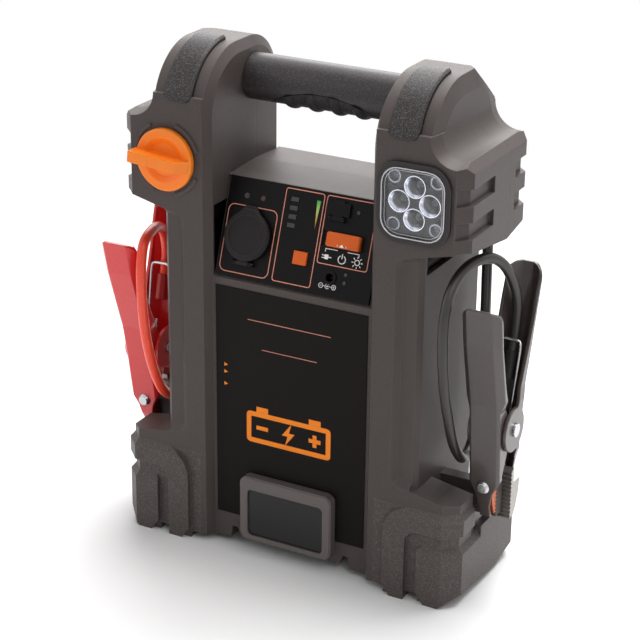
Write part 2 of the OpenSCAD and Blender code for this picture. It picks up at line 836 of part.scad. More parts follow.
module socket_cap() color("#242121") centred() on_panel() {
  translate([cap_u, cap_s, cap_lift]) difference() {
    union() {
      linear_extrude(cap_t) cap_outline(0);
      translate([0, 0, cap_t - eps]) linear_extrude(1) cap_outline(1);
    }
    // The face is sunk inside its raised rim
    translate([0, 0, cap_t]) linear_extrude(2) circle(cap_d / 2 - 3.4);
  }
  difference() {
    union() {
      translate([cap_u, hinge_s, hinge_n]) rod_x(1.7, 8);
      translate([cap_u - 4, hinge_s, cap_lift + 0.1]) cube([8, 5, 1.6]);
    }
    translate([cap_u, hinge_s, hinge_n]) rod_x(hinge_pin_r + run, 9);
  }
}

module socket_cap_pin() color("silver") centred() on_panel() translate([cap_u, hinge_s, hinge_n]) {
  rod_x(hinge_pin_r, 2 * (4.2 + 3));
}

// ---------- USB port ----------

module usb_port() color("silver") centred() on_panel() translate([usb_u, usb_s, 0]) {
  difference() {
    translate([-6.4, -2.7, -panel_t - 12]) cube([12.8, 5.4, 12.5]);
    translate([-6, -2.3, -panel_t - 10]) cube([12, 4.6, 15]);
  }
  translate([-5.5, 0.2, -panel_t - 10.1]) cube([11, 1.7, 9]);
}

module usb_cover() color("#242121") centred() on_panel() {
  translate([usb_u, usb_s, 0.4]) {
    translate([-usb_cover_w / 2, -usb_cover_h / 2, 0]) cube([usb_cover_w, usb_cover_h, 1.4]);
    translate([-5.2, -1.9, -2]) cube([10.4, 3.8, 2.1]);
    translate([-4, usb_cover_h / 2 - 1, 0]) cube([8, 2.4, 1]);
  }
  difference() {
    union() {
      translate([usb_u, usb_hinge_s, usb_hinge_n + 0.4]) rod_x(1.4, 6.8);
      translate([usb_u - 3.4, usb_hinge_s, 0.5]) cube([6.8, 3, 1.3]);
    }
    translate([usb_u, usb_hinge_s, usb_hinge_n + 0.4]) rod_x(hinge_pin_r + run, 9);
  }
}

module usb_cover_pin() color("silver") centred() on_panel()
  translate([usb_u, usb_hinge_s, usb_hinge_n + 0.4]) rod_x(hinge_pin_r, 2 * (3.6 + 2));

// ---------- switches and lights on the panel ----------

module slide_knob() color("#e8601a") centred() on_panel() translate([slide_u, slide_s, 0]) {
  slab_z(-0.7, 2.5) round_rect(slide_w, slide_h, 1.6);
  slab_z(2.5 - eps, 3.1) round_rect(slide_w - 1.4, slide_h - 1.4, 1);
  translate([-slide_stem_w / 2, -slide_stem_h / 2, -panel_t - 3.2]) cube([slide_stem_w, slide_stem_h, panel_t + 3]);
}

module slide_switch() color("#77726c") centred() on_panel() translate([slide_u, slide_s, panel_board_n + board_t]) {
  switch_h = -panel_t - panel_board_n - board_t;
  slot_w = slide_stem_w + 2 * (slide_stroke + fit);
  slot_across = slide_stem_h + 2 * fit;
  difference() {
    translate([-slide_body_w / 2, -slide_body_h / 2, 0]) cube([slide_body_w, slide_body_h, switch_h]);
    translate([-slot_w / 2, -slot_across / 2, switch_h - 3.8]) cube([slot_w, slot_across, 5]);
  }
}

module test_button() color("#e8601a") centred() on_panel() translate([button_u, button_s, 0]) {
  translate([-button_w / 2, -button_h / 2, -panel_t - 1]) cube([button_w, button_h, panel_t + 2.6]);
  translate([-button_w / 2 - 1, -button_h / 2 - 1, -panel_t - fit - 1]) cube([button_w + 2, button_h + 2, 1]);
  translate([0, 0, -panel_t - 2.6]) cylinder(r = 1.6, h = 2);
}

module test_switch() color("#3c3a38") centred() on_panel()
  translate([button_u, button_s, -panel_t - 2.6 - button_stroke - fit]) {
    translate([0, 0, -1]) cylinder(r = 1.75, h = 1);
    translate([-tact_w / 2, -tact_w / 2, -panel_board_gap]) cube([tact_w, tact_w, panel_board_gap - 1 + eps]);
  }

// The board reaches from the level lights to the slide switch
module panel_board() color("#2f6b45") centred() on_panel() {
  left = level_u - 2 - panel_board_edge;
  right = slide_u + slide_w / 2 + panel_board_edge;
  low = button_s - panel_board_edge;
  high = slide_s + slide_h / 2 + 2 * panel_board_edge;
  translate([left, low, panel_board_n]) cube([right - left, high - low, board_t]);
}

module indicator_lenses() color("#e4dcd4") centred() on_panel() {
  for (p = lamp_dots) translate([p[0], p[1], -panel_t - 1.2]) {
    cylinder(r = 2.4, h = 1.2);
    cylinder(r = 1.3, h = panel_t + 1.5);
  }
  for (s = level_s) translate([level_u, s, -panel_t - 1.2]) {
    translate([-3.5, -2.2, 0]) cube([7, 4.4, 1.2]);
    translate([-2.8, -1.5, 0]) cube([5.6, 3, panel_t + 1.4]);
  }
}

module charge_jack() color("#2b2929") centred() on_panel() translate([jack_u, jack_s, 0]) {
  difference() {
    union() {
      cylinder(r = 4.6, h = 0.7);
      translate([0, 0, -panel_t - 11]) cylinder(r = 3.8, h = panel_t + 11.1);
      translate([0, 0, -panel_t - 11]) cylinder(r = 4.6, h = 10);
    }
    translate([0, 0, -panel_t - 8]) cylinder(r = jack_bore_r, h = 14);
  }
  translate([0, 0, -panel_t - 8.1]) cylinder(r = 1, h = 8);
}

// ---------- knob ----------

module rotary_knob() color("#ec6214") centred() translate([-pod_x, -knob_lift, pod_mid_z]) {
  difference() {
    union() {
      rod_y(knob_d / 2 - 0.8, -knob_base_t, -knob_base_t + 0.8, knob_d / 2);
      rod_y(knob_d / 2, -knob_base_t + 0.8, 0);
    }
    // Dish in the face of the disc
    rod_y(knob_d * 0.36, -knob_base_t - eps, -knob_base_t + dish_depth, knob_d * 0.26);
  }
  // Grip bar: square at its pointer end, sloped down to the rim at the other
  rotate([0, knob_rest, 0]) rotate([90, 0, 0]) slab_y(-grip_w / 2, grip_w / 2) polygon([
    [-knob_d / 2 - 0.8, knob_base_t - 1], [-knob_d / 2 - 0.8, knob_base_t + grip_h],
    [-knob_d * 0.18, knob_base_t + grip_h], [-knob_d * 0.18 + 0.8, knob_base_t + grip_h - 0.8],
    [knob_d * 0.32, knob_base_t + grip_h - 0.8], [knob_d / 2 - 1.4, knob_base_t + 0.6],
    [knob_d / 2 - 1.4, knob_base_t - 1], [knob_d * 0.3, knob_base_t - dish_depth - 0.6],
    [-knob_d * 0.3, knob_base_t - dish_depth - 0.6]
  ]);
  rod_y(3, -eps, knob_lift + wall + 10);
}

module rotary_switch() color("#4b4540") centred() translate([-pod_x, 0, pod_mid_z]) {
  difference() {
    union() {
      rod_y(13, wall + fit, 22);
      rod_y(6, wall + fit, 23);
    }
    rod_y(3 + run, 0, wall + 10 + fit);
  }
  for (m = [-1, 1]) translate([m * 7, 0, 0]) rod_y(2.5, 21.5, 29);
}

// ---------- lamp ----------

module lamp_bezel() color("#6a6664") centred() difference() {
  union() {
    slab_y(-2, 0) lamp_outline(bezel_w);
    slab_y(-1, 18) lamp_outline(bezel_w / 2);
  }
  slab_y(-3, 19) lamp_outline(0);
}

// The lens has a raised rim
module lamp_lens() color("#dfe8ee") centred() {
  slab_y(-1.2, 1.3) lamp_outline(-fit);
  slab_y(-2.4, -1.2 + eps) difference() {
    lamp_outline(-fit);
    lamp_outline(-fit - 1.3);
  }
}

module cup_places() for (p = [[0, 1], [0, -1], [1, 0], [-1, 0]])
  translate([pod_x + p[0] * cup_step, 0, pod_mid_z + p[1] * cup_step]) children();

// The four pillars in the corners of the reflector
module pillar_places() for (x = [-1, 1], z = [-1, 1])
  translate([pod_x + x * (lens_w / 2 - pillar_edge), 0, pod_mid_z + z * (lens_h / 2 - pillar_edge)]) children();

module lamp_reflector() color("#cfd3d6") centred() difference() {
  union() {
    slab_y(4.2, 13) lamp_outline(-fit);
    cup_places() rod_y(cup_d / 2 + 0.9, 1.6, 4.2 + eps);
    pillar_places() rod_y(4.8, 2.4, 4.2 + eps);
  }
  cup_places() {
    rod_y(cup_d / 2, 1.5, 11, 3.4);
    rod_y(3.4, 10.9, 14);
  }
  pillar_places() rod_y(3.8, 1.4, 5.4, 3);
}

module lamp_leds() color("#f0e6a0") centred() cup_places() {
  rod_y(2.5, 9.5, 13.3);
  translate([0, 9.5, 0]) sphere(2.5);
}

module lamp_board() color("#2f6b45") centred() slab_y(13.3, 13.3 + board_t) lamp_outline(-fit);

// ---------- battery and board ----------

module battery() color("#55524f") centred() {
  translate([-cell_w / 2, cell_y - cell_d / 2, cell_z]) cube([cell_w, cell_d, cell_h - 8]);
  translate([-cell_w / 2 + 1, cell_y - cell_d / 2 + 1, cell_z + cell_h - 8 - eps]) cube([cell_w - 2, cell_d - 2, 8]);
}

module battery_terminals() color("#b9b3a8") centred() for (m = [-1, 1])
  translate([m * (cell_w / 2 - 14), cell_y - cell_d / 2 + 12, cell_top - 1]) difference() {
    translate([-6, -1.2, 1]) cube([12, 2.4, 13]);
    translate([0, 0, 9]) rod_y(2.6, -4, 4);
  }

module battery_bracket() color("#8d8a86") centred() {
  out = cell_w / 2 + fit;
  for (m = [0, 1]) mirror([m, 0, 0]) {
    translate([-eps, cell_y, cell_top + fit]) cube([out + bracket_t, 10, bracket_t]);
    translate([out, cell_y, ground_gap + wall]) cube([bracket_t, 10, cell_top + fit - ground_gap - wall + eps]);
    translate([out, cell_y, ground_gap + wall]) cube([core_x - bracket_edge - out, 10, bracket_t]);
  }
}

module main_board() color("#2f6b45") centred() {
  translate([-board_w / 2, board_y, board_z - board_h / 2]) cube([board_w, board_t, board_h]);
  translate([-30, board_y + 1.5, board_z - 12]) cube([28, 18, 24]);
  translate([10, board_y + 1.5, board_z - 16]) cube([22, 3, 12]);
  for (x = [14, 26, 38]) translate([x, 0, board_z + 14]) rod_y(5, board_y + 1.5, board_y + 14);
}

// ---------- glands and cables ----------

module gland() translate([gland_x, gland_y, 0]) difference() {
  union() {
    translate([0, 0, pod_z - 14]) cylinder(r1 = gland_r - 2, r2 = gland_r, h = 3);
    translate([0, 0, pod_z - 11 - eps]) cylinder(r = gland_r, h = 8.2);
    translate([0, 0, pod_z - 3]) cylinder(r = gland_r - 2 - run, h = wall + 4);
    translate([0, 0, pod_z + wall + fit]) cylinder(r = gland_r - 0.5, h = 2);
  }
  translate([0, 0, pod_z - 15]) cylinder(r = cable_r + run, h = 9);
}

module right_gland() color("#2a2827") centred() gland();

module left_gland() color("#2a2827") centred() mirror([1, 0, 0]) gland();

// A point of a clamp, in the case's own place
function at_clamp(p, hang) = [
  clamp_x + p[0], pivot_y + hang[1] + p[1] * cos(hang[0]) - p[2] * sin(hang[0]),
  pivot_z + hang[2] + p[1] * sin(hang[0]) + p[2] * cos(hang[0])
];

// A point on the axis of the cable lug
function lug_at(t) = [0, lug_y + t * sin(lug_tilt), lug_z + t * cos(lug_tilt)];

// Route of a cable, from its gland to the lug in the clamp
function cable_route(hang) = concat([
  [gland_x, gland_y, pod_z - 6], [gland_x, gland_y, 215], [107, 77, 180], [107, 77, 142], [107, 74, 116],
  [107.5, 68, 100], [108.5, 59, 91], [109.5, 48, 88], [110, 37, 92], [110, 28.5, 102], [110, 21, 118],
  [110, 13, 138], [110, 7, 158], [110, 4.5, 178], [110, 5.5, 198]
], [for (p = [
  [-20.5, -35, 97], [-18.5, -24, 107], [-14.5, -11, 112.5], [-9, 1.5, 112], [-4.5, 12, 106],
  [-1.5, 21, 94], [0, 27, 79], lug_at(32), lug_at(14), lug_at(4)]) at_clamp(p, hang)
]);

// A smooth run of points through the route: n steps to each stretch
function curve_at(p, i, t) = let(
    a = p[max(i - 1, 0)], b = p[i], c = p[i + 1], d = p[min(i + 2, len(p) - 1)])
  0.5 * (2 * b + (c - a) * t + (2 * a - 5 * b + 4 * c - d) * t * t + (3 * b - a - 3 * c + d) * t * t * t);
function smooth_route(p, n) = [
  for (i = [0:len(p) - 2], k = [0:n - 1]) curve_at(p, i, k / n), p[len(p) - 1]
];
function unit(v) = v / norm(v);
function heading(p, i) = unit(p[min(i + 1, len(p) - 1)] - p[max(i - 1, 0)]);
// Each ring keeps the last one's sideways direction, so that the tube does not twist
function sideways(p, i, s) = i >= len(p) ? [] :
  let(h = heading(p, i), w = unit(s - (s * h) * h)) concat([w], sideways(p, i + 1, w));
function ring(c, h, w, r, n) = [
  for (k = [0:n - 1]) c + r * (cos(360 * k / n) * w + sin(360 * k / n) * cross(h, w))
];

// A round tube along points p, with flat ends
module tube(p, r, n) {
  side = sideways(p, 0, abs(heading(p, 0)[0]) < 0.8 ? [1, 0, 0] : [0, 0, 1]);
  rings = [for (i = [0:len(p) - 1]) ring(p[i], heading(p, i), side[i], r, n)];
  points = [for (q = rings) for (v = q) v];
  last = (len(p) - 1) * n;
  polyhedron(points, concat(
    [[for (k = [0:n - 1]) k]],
    [[for (k = [0:n - 1]) last + n - 1 - k]],
    [for (i = [0:len(p) - 2], k = [0:n - 1])
      [i * n + k, (i + 1) * n + k, (i + 1) * n + (k + 1) % n, i * n + (k + 1) % n]]
  ), convexity = 6);
}

module cable(hang) tube(smooth_route(cable_route(hang), 3), cable_r, 12);

module right_cable() color("#262322") centred() cable(right_hang);

module left_cable() color("#d8401c") centred() mirror([1, 0, 0]) cable(left_hang);

// ---------- clamps, drawn about the pivot: y away from the front arm, z up ----------

module hung(hang = right_hang)
  translate([clamp_x, pivot_y + hang[1], pivot_z + hang[2]]) rotate([hang[0], 0, 0]) children();

module on_right() centred() hung() children();

module on_left() centred() mirror([1, 0, 0]) hung(left_hang) children();

// Everything behind an arm's outer face, at a depth t below it
module behind(outer, t) polygon(concat([for (p = outer) p + [t, 0]], [[60, -80], [60, 110], [outer[0][0] + t, 110]]));

// The same behind the bevel that runs down the arm's edge from a distance x0
module behind_bevel(outer, t, x0) rotate([0, 0, 45]) slab_x(-90, 90) polygon(concat(
  [for (p = outer) [(p[0] + t * sqrt(2) - x0) * cos(45), p[1] - bend_lag]],
  [[60, -80], [60, 110], [(outer[0][0] + t * sqrt(2) - x0) * cos(45), 110]]
));

// An arm seen from the front: full width at the grip, narrower at the pivot, slim at the jaw
module arm_front(half, waist, tip, neck, top) {
  r = half * 0.58;
  corner = [for (a = [0:7.5:90]) [half - r + r * cos(a), top - r + r * sin(a)]];
  side = concat([[tip, -80], [tip, neck - 11], [tip + 2.2, neck], [waist, neck + 10], [waist, 18], [half, 26]], corner);
  last = len(side) - 1;
  polygon(concat(side, [for (k = [0:last]) [-side[last - k][0], side[last - k][1]]]));
}

module arm(outer, inner, ear_r, half, waist, tip, neck, bevel) {
  top = outer[0][1];
  difference() {
    union() {
      intersection() {
        slab_x(-arm_half, arm_half) polygon(concat(outer, inner));
        slab_y(-60, 60) arm_front(half, waist, tip, neck, top);
        behind_bevel(outer, 0, half - bevel);
        mirror([1, 0, 0]) behind_bevel(outer, 0, half - bevel);
      }
      for (m = [-1, 1]) translate([m * (waist - arm_t / 2), 0, 0]) rod_x(ear_r, arm_t);
    }
    intersection() {
      slab_x(-arm_half, arm_half) behind(outer, arm_t);
      slab_y(-60, 60) arm_front(half - arm_t, waist - arm_t, tip + 1, neck, top + 20);
      behind_bevel(outer, arm_t, half - bevel);
      mirror([1, 0, 0]) behind_bevel(outer, arm_t, half - bevel);
    }
    rod_x(pin_d / 2 + run, clamp_w + 4);
  }
}

module front_arm() difference() {
  arm(
    [[-36, 92.5], [-32.5, 68], [-28.3, 50], [-21.5, 22], [-18.5, -5], [-15.9, -38], [-14.5, -50], [-10.5, -61.5]],
    [[-5, -61.5], [-8.5, -48], [-11, -30], [-4, -14], [-4, 8], [-9, 16], [-12, 20], [-18, 36], [-26, 66], [-29.5, 92.5]],
    9.4, arm_half, arm_half - arm_t - 0.6, 3.6, -43, 4.5);
  translate([0, 0, rivet_z]) rod_y(2 + run, -40, 0);
}

module rear_arm() mirror([0, 1, 0]) arm(
  [[-44, 100.5], [-43, 92], [-39.5, 79], [-34, 60], [-30.6, 47.5], [-24.6, 29], [-20, 10], [-18, -8], [-18, -42]],
  [[-9, -42], [-7, -24], [-4, -14], [-4, 14], [-9, 26], [-13, 36], [-20, 52], [-25.7, 67], [-29.5, 79],
   [-34.5, 92], [-36, 100.5]],
  15, arm_half - 1, arm_half, 8, -27, 7.5);

// Side view of a jaw: its back along the arm, then a row of teeth
module jaw_side(back, z0, teeth) polygon(concat(
  back,
  [for (k = [0:teeth - 1]) each [[-post_t / 2 - fit, z0 + 3 * k], [-post_t / 2 - fit - 1.6, z0 + 3 * k + 1.5]]],
  [[-8.9, z0 + 3 * teeth]]
));

module front_jaw() difference() {
  slab_x(-5.2, 5.2) jaw_side([[-13.6, -31], [-12.6, -42], [-11.6, -50], [-8.1, -59.5]], -59.5, 10);
  translate([0, 0, rivet_z]) rod_y(2 + run, -20, -8.8);
}

// The steel jaw is wide below the arm and has a narrow tongue inside it
module rear_jaw() mirror([0, 1, 0]) {
  slab_x(-11, 11) jaw_side([[-9, -32], [-9, -42.6], [-19.5, -43], [-18.5, -52], [-14.5, -63], [-11, -68]], -68, 12);
  slab_x(-4.6, 4.6) polygon([[-15.4, -29], [-15.4, -43.4], [-8, -43.4], [-8, -29]]);
}

module pin() {
  rod_x(pin_d / 2, clamp_w + 1);
  for (m = [-1, 1]) translate([m * (arm_half + 0.9), 0, 0]) rod_x(4.6, 1.6);
}

module rivet() translate([0, 0, rivet_z]) {
  rod_y(2, -16.6, -9.1);
  rod_y(3.2, -18.6, -16.5, 4.6);
}

// Torsion spring: a leg, the curls round the pin, then a leg and a crossbar in the rear arm
spring_curl = [for (k = [0:8 * spring_turns + 4])
  [(k / (8 * spring_turns + 4) - 0.5) * spring_w, spring_r * cos(180 + 45 * k), spring_r * sin(180 + 45 * k)]];
spring_route = concat(
  [[-spring_w / 2, -2.5, 22], [-spring_w / 2, -spring_r + 0.6, 11]],
  spring_curl,
  [[spring_w / 2 + 0.2, 8.5, 13], [spring_w / 2 + 0.3, 15.5, 29], [spring_w / 2 + 0.3, 23.4, 47.5],
   [spring_w / 2 - 1.8, 26, 50], [0, 27.8, 50.6], [1.8 - spring_w / 2, 26, 50], [-spring_w / 2, 22, 43]]);

module spring() tube(spring_route, wire_r, 6);

module lug() translate([0, lug_y, lug_z]) rotate([-lug_tilt, 0, 0]) difference() {
  union() {
    cylinder(r = 5, h = 18);
    translate([-5, 0, 0]) cube([10, 5.2, 7]);
  }
  translate([0, 0, 4]) cylinder(r = cable_r + run, h = 20);
}

echo(spring_self_gap = spring_w / (spring_turns + 0.5) - 2 * wire_r);

module left_clamp_rear_arm() color("#c01818") on_left() rear_arm();
module left_clamp_front_arm() color("#c01818") on_left() front_arm();
module left_clamp_rear_jaw() color("#a8a4a0") on_left() rear_jaw();
module left_clamp_front_jaw() color("#b06a48") on_left() front_jaw();
module left_clamp_pin() color("silver") on_left() pin();
module left_clamp_spring() color("silver") on_left() spring();
module left_clamp_rivet() color("silver") on_left() rivet();
module left_cable_lug() color("#b06a48") on_left() lug();
module right_clamp_rear_arm() color("#2b2725") on_right() rear_arm();
module right_clamp_front_arm() color("#2b2725") on_right() front_arm();
module right_clamp_rear_jaw() color("#a8a4a0") on_right() rear_jaw();
module right_clamp_front_jaw() color("#b06a48") on_right() front_jaw();
module right_clamp_pin() color("silver") on_right() pin();
module right_clamp_spring() color("silver") on_right() spring();
module right_clamp_rivet() color("silver") on_right() rivet();
module right_cable_lug() color("#b06a48") on_right() lug();

front_shell();
rear_shell();
handle_bar();
handle_grip();
left_pad();
right_pad();
control_panel();
front_label();
badge_frame();
badge_plate();
socket_barrel();
socket_contact();
socket_cap();
socket_cap_pin();
usb_port();
usb_cover();
usb_cover_pin();
slide_knob();
slide_switch();
test_button();
test_switch();
panel_board();
indicator_lenses();
charge_jack();
rotary_knob();
rotary_switch();
lamp_bezel();
lamp_lens();
lamp_reflector();
lamp_leds();
lamp_board();
battery();
battery_terminals();
battery_bracket();
main_board();
case_screws();
left_gland();
right_gland();
left_cable();
right_cable();
left_clamp_rear_arm();
left_clamp_front_arm();
left_clamp_rear_jaw();
left_clamp_front_jaw();
left_clamp_pin();
left_clamp_spring();
left_clamp_rivet();
left_cable_lug();
right_clamp_rear_arm();
right_clamp_front_arm();
right_clamp_rear_jaw();
right_clamp_front_jaw();
right_clamp_pin();
right_clamp_spring();
right_clamp_rivet();
right_cable_lug();
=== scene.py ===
import json
import math

import bmesh
import bpy
from mathutils import Matrix, Vector


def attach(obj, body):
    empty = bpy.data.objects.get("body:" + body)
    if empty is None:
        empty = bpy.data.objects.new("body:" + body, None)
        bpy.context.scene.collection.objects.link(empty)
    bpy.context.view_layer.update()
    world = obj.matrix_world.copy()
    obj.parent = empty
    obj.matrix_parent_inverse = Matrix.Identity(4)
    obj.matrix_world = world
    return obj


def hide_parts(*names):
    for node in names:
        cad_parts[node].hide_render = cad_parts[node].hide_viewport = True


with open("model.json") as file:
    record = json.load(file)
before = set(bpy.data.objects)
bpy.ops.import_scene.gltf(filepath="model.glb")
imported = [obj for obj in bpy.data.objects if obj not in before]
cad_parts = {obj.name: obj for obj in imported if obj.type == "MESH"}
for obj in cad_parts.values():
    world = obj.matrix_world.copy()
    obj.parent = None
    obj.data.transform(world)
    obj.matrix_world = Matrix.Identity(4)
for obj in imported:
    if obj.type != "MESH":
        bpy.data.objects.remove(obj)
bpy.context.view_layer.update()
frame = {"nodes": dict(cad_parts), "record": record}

# ---------------------------------------------------------------- sizes, as in the CAD source, in millimetres

MM = 0.001
# Depths behind the front plate: the row frame's origin, the face of panel and label, the shells' parting line
MID_Y, FACE_Y, SEAM_Y = 41.75, 5.9, 63.0
# The parting line shows dark, this far to each side
SEAM_HALF = 0.35
# The feet reach inwards to this distance from the middle, and up to this height
FOOT_X, FOOT_Z = 66.5, 67.5
# The panel starts at this height and leans back
PANEL_Z, TILT = 199.5, math.radians(19.5)
# The level wedge stands between these heights on the panel, and changes colour on its way up
WEDGE_FOOT, WEDGE_TOP = 40.1, 59.6
WEDGE_SHADES = ((0.0, (120, 40, 30)), (0.35, (196, 150, 70)), (0.65, (170, 190, 110)), (1.0, (52, 170, 84)))
# The lamp: its middle, its lens, the four cups round the middle and the pillars in the corners
LAMP_X, POD_Z = 89.0, 275.0
LENS_W, LENS_H = 44.0, 46.0
CUP_STEP, CUP_R = 10.5, 7.65
PILLAR_X, PILLAR_Z, PILLAR_R = 14.4, 15.4, 4.8
# Painted reflections and painted shade on the plating: greys, each with its distance from the middle of a cup
# or a pillar
CUP_PAINTED_LIGHT = ((0, 24), (3.3, 30), (3.7, 252), (4.9, 252), (5.4, 120), (6.0, 250), (7.1, 250), (7.4, 60))
PILLAR_PAINTED_LIGHT = ((0, 96), (3.2, 80), (3.7, 190), (4.2, 150), (4.8, 70))
CABLE_R = 3.5
# The clamp's spring: its wire, the radius and width of its coil, and its turns
WIRE_R = 0.9
SPRING_R, SPRING_W, SPRING_TURNS = 6.3, 14.0, 5
# The clamp's pin, and from there the foot of the cable lug, which leans
CLAMP_X, PIVOT_Y, PIVOT_Z = 131.0, 46.0, 116.5
LUG_Y, LUG_Z, LUG_TILT = 15.6, 28.0, math.radians(18)
# How each clamp hangs on its post: its lean, and its shift in depth and in height
HANGS = {"right": (0.0, 0.0, 0.0), "left": (math.radians(5.5), -4.0, 4.0)}
SIDES = (("left", -1), ("right", 1))


def point(x, y, z):
    """A place in the case's own millimetres, front plate at y = 0, as a place in the row frame."""
    return Vector((x * MM, (y - MID_Y) * MM, z * MM))


def sheet_frame(across, upward, outward, origin):
    """Turns millimetres on a flat face, and out of it, into places in the row frame."""
    turn = Matrix((across, upward, outward)).transposed().to_4x4()
    return Matrix.Translation(origin) @ turn @ Matrix.Scale(MM, 4)


# The faces that carry marks: the leaning panel, the label below it and the front plate
PANEL = sheet_frame(
    (1, 0, 0),
    (0, math.sin(TILT), math.cos(TILT)),
    (0, -math.cos(TILT), math.sin(TILT)),
    point(0, FACE_Y, PANEL_Z),
)
LABEL = sheet_frame((1, 0, 0), (0, 0, 1), (0, -1, 0), point(0, FACE_Y, 0))
FRONT = sheet_frame((1, 0, 0), (0, 0, 1), (0, -1, 0), point(0, 0, 0))

# ---------------------------------------------------------------- camera

# Which way the camera looks, at what place and from how far, in metres, and its lens in millimetres
AZ, EL, ROLL = math.radians(28.12), math.radians(22.61), math.radians(0.69)
AIM, DISTANCE = Vector((0.0011, 0.00325, 0.1641)), 1.2892
FOCAL_LENGTH, SENSOR_WIDTH = 108.3, 36.0
back = Vector((math.sin(AZ) * math.cos(EL), -math.cos(AZ) * math.cos(EL), math.sin(EL)))
side = Vector((math.cos(AZ), math.sin(AZ), 0.0))
up = back.cross(side)
turned_side = math.cos(ROLL) * side + math.sin(ROLL) * up
turned_up = -math.sin(ROLL) * side + math.cos(ROLL) * up
camera_data = bpy.data.cameras.new("camera")
camera_data.lens = FOCAL_LENGTH
camera_data.sensor_width = SENSOR_WIDTH
camera = bpy.data.objects.new("camera", camera_data)
bpy.context.scene.collection.objects.link(camera)
turn = Matrix((turned_side, turned_up, back)).transposed().to_4x4()
camera.matrix_world = Matrix.Translation(AIM + back * DISTANCE) @ turn
bpy.context.scene.camera = camera

# ---------------------------------------------------------------- shared effects

# Height of the moulded grain, and how fast its mask of the edges and the mask of the specks rise
GRAIN_HEIGHT = 0.0002
EDGE_CONTRAST, SPECK_CONTRAST = 6.0, 7.0
# Patches of dust per metre
DUST_PATCHES = 28.0


def linear(r, g, b):
    """A colour given in screen values, 0 to 255, as the linear values that a shader takes."""
    return [((c / 255 + 0.055) / 1.055) ** 2.4 if c > 10.3 else c / 255 / 12.92 for c in (r, g, b)] + [1.0]


def add(tree, kind, **values):
    """A node with its settings."""
    node = tree.nodes.new(kind)
    for key, value in values.items():
        setattr(node, key, value)
    return node


def feed(tree, value, socket):
    """Sets a socket to a plain value, or links it to another node's output."""
    if isinstance(value, bpy.types.NodeSocket):
        tree.links.new(value, socket)
    else:
        socket.default_value = value


def math_node(tree, operation, a, b=None, clamp=False):
    """One step of arithmetic on plain values or on outputs of other nodes."""
    node = add(tree, "ShaderNodeMath", operation=operation, use_clamp=clamp)
    for k, value in enumerate((a, b)):
        if value is not None:
            feed(tree, value, node.inputs[k])
    return node.outputs[0]


def mixed(tree, amount, below, above):
    """Two colours mixed by an amount. A mix node has its colours on sockets 6 and 7 and on output 2."""
    node = add(tree, "ShaderNodeMix", data_type="RGBA")
    feed(tree, amount, node.inputs[0])
    feed(tree, below, node.inputs[6])
    feed(tree, above, node.inputs[7])
    return node.outputs[2]


def object_xyz(tree):
    """The three object coordinates of the shaded point, in metres."""
    coords = tree.nodes.new("ShaderNodeTexCoord")
    split = tree.nodes.new("ShaderNodeSeparateXYZ")
    tree.links.new(coords.outputs["Object"], split.inputs[0])
    return split.outputs


def effect(name, inputs, outputs):
    """An empty shader node group with typed inputs and outputs."""
    tree = bpy.data.node_groups.new(name, "ShaderNodeTree")
    for label, value in inputs:
        tree.interface.new_socket(label, in_out="INPUT", socket_type="NodeSocketFloat").default_value = value
    for label, kind in outputs:
        tree.interface.new_socket(label, in_out="OUTPUT", socket_type=kind)
    return tree, tree.nodes.new("NodeGroupInput").outputs, tree.nodes.new("NodeGroupOutput").inputs


def noise_at(tree, scale, detail):
    """Noise that keeps its place on a piece. The scale is its count per metre."""
    coords = tree.nodes.new("ShaderNodeTexCoord")
    noise = tree.nodes.new("ShaderNodeTexNoise")
    noise.inputs["Detail"].default_value = detail
    tree.links.new(coords.outputs["Object"], noise.inputs["Vector"])
    feed(tree, scale, noise.inputs["Scale"])
    return noise.outputs[0]


def make_grain():
    """Moulded grain: a fine bump over softened edges, a mottle that goes with it, and a mask of the edges."""
    tree, given, out = effect(
        "moulded_grain",
        [("Size", 0.0005), ("Depth", 0.3), ("Edge", 0.0006)],
        [("Normal", "NodeSocketVector"), ("Mottle", "NodeSocketFloat"), ("Edges", "NodeSocketFloat")],
    )
    noise = noise_at(tree, math_node(tree, "DIVIDE", 1.0, given["Size"]), detail=2.0)
    soft = add(tree, "ShaderNodeBevel", samples=4)
    tree.links.new(given["Edge"], soft.inputs["Radius"])
    bump = tree.nodes.new("ShaderNodeBump")
    bump.inputs["Distance"].default_value = GRAIN_HEIGHT
    tree.links.new(given["Depth"], bump.inputs["Strength"])
    tree.links.new(noise, bump.inputs["Height"])
    tree.links.new(soft.outputs[0], bump.inputs["Normal"])
    plain = tree.nodes.new("ShaderNodeNewGeometry")
    dot = add(tree, "ShaderNodeVectorMath", operation="DOT_PRODUCT")
    tree.links.new(soft.outputs[0], dot.inputs[0])
    tree.links.new(plain.outputs["Normal"], dot.inputs[1])
    turned_by = math_node(tree, "SUBTRACT", 1.0, dot.outputs["Value"])
    edge = math_node(tree, "MULTIPLY", turned_by, EDGE_CONTRAST, clamp=True)
    tree.links.new(bump.outputs[0], out["Normal"])
    tree.links.new(noise, out["Mottle"])
    tree.links.new(edge, out["Edges"])
    return tree


def make_dust():
    """A faint pale dust that lies on upward faces."""
    tree, given, out = effect("settled_dust", [("Amount", 0.2)], [("Mask", "NodeSocketFloat")])
    noise = noise_at(tree, DUST_PATCHES, detail=5.0)
    place = tree.nodes.new("ShaderNodeNewGeometry")
    split = tree.nodes.new("ShaderNodeSeparateXYZ")
    tree.links.new(place.outputs["Normal"], split.inputs[0])
    rise = math_node(tree, "POWER", math_node(tree, "MAXIMUM", split.outputs["Z"], 0.0), 2.0)
    mask = math_node(tree, "MULTIPLY", math_node(tree, "MULTIPLY", noise, rise), given["Amount"], clamp=True)
    tree.links.new(mask, out["Mask"])
    return tree


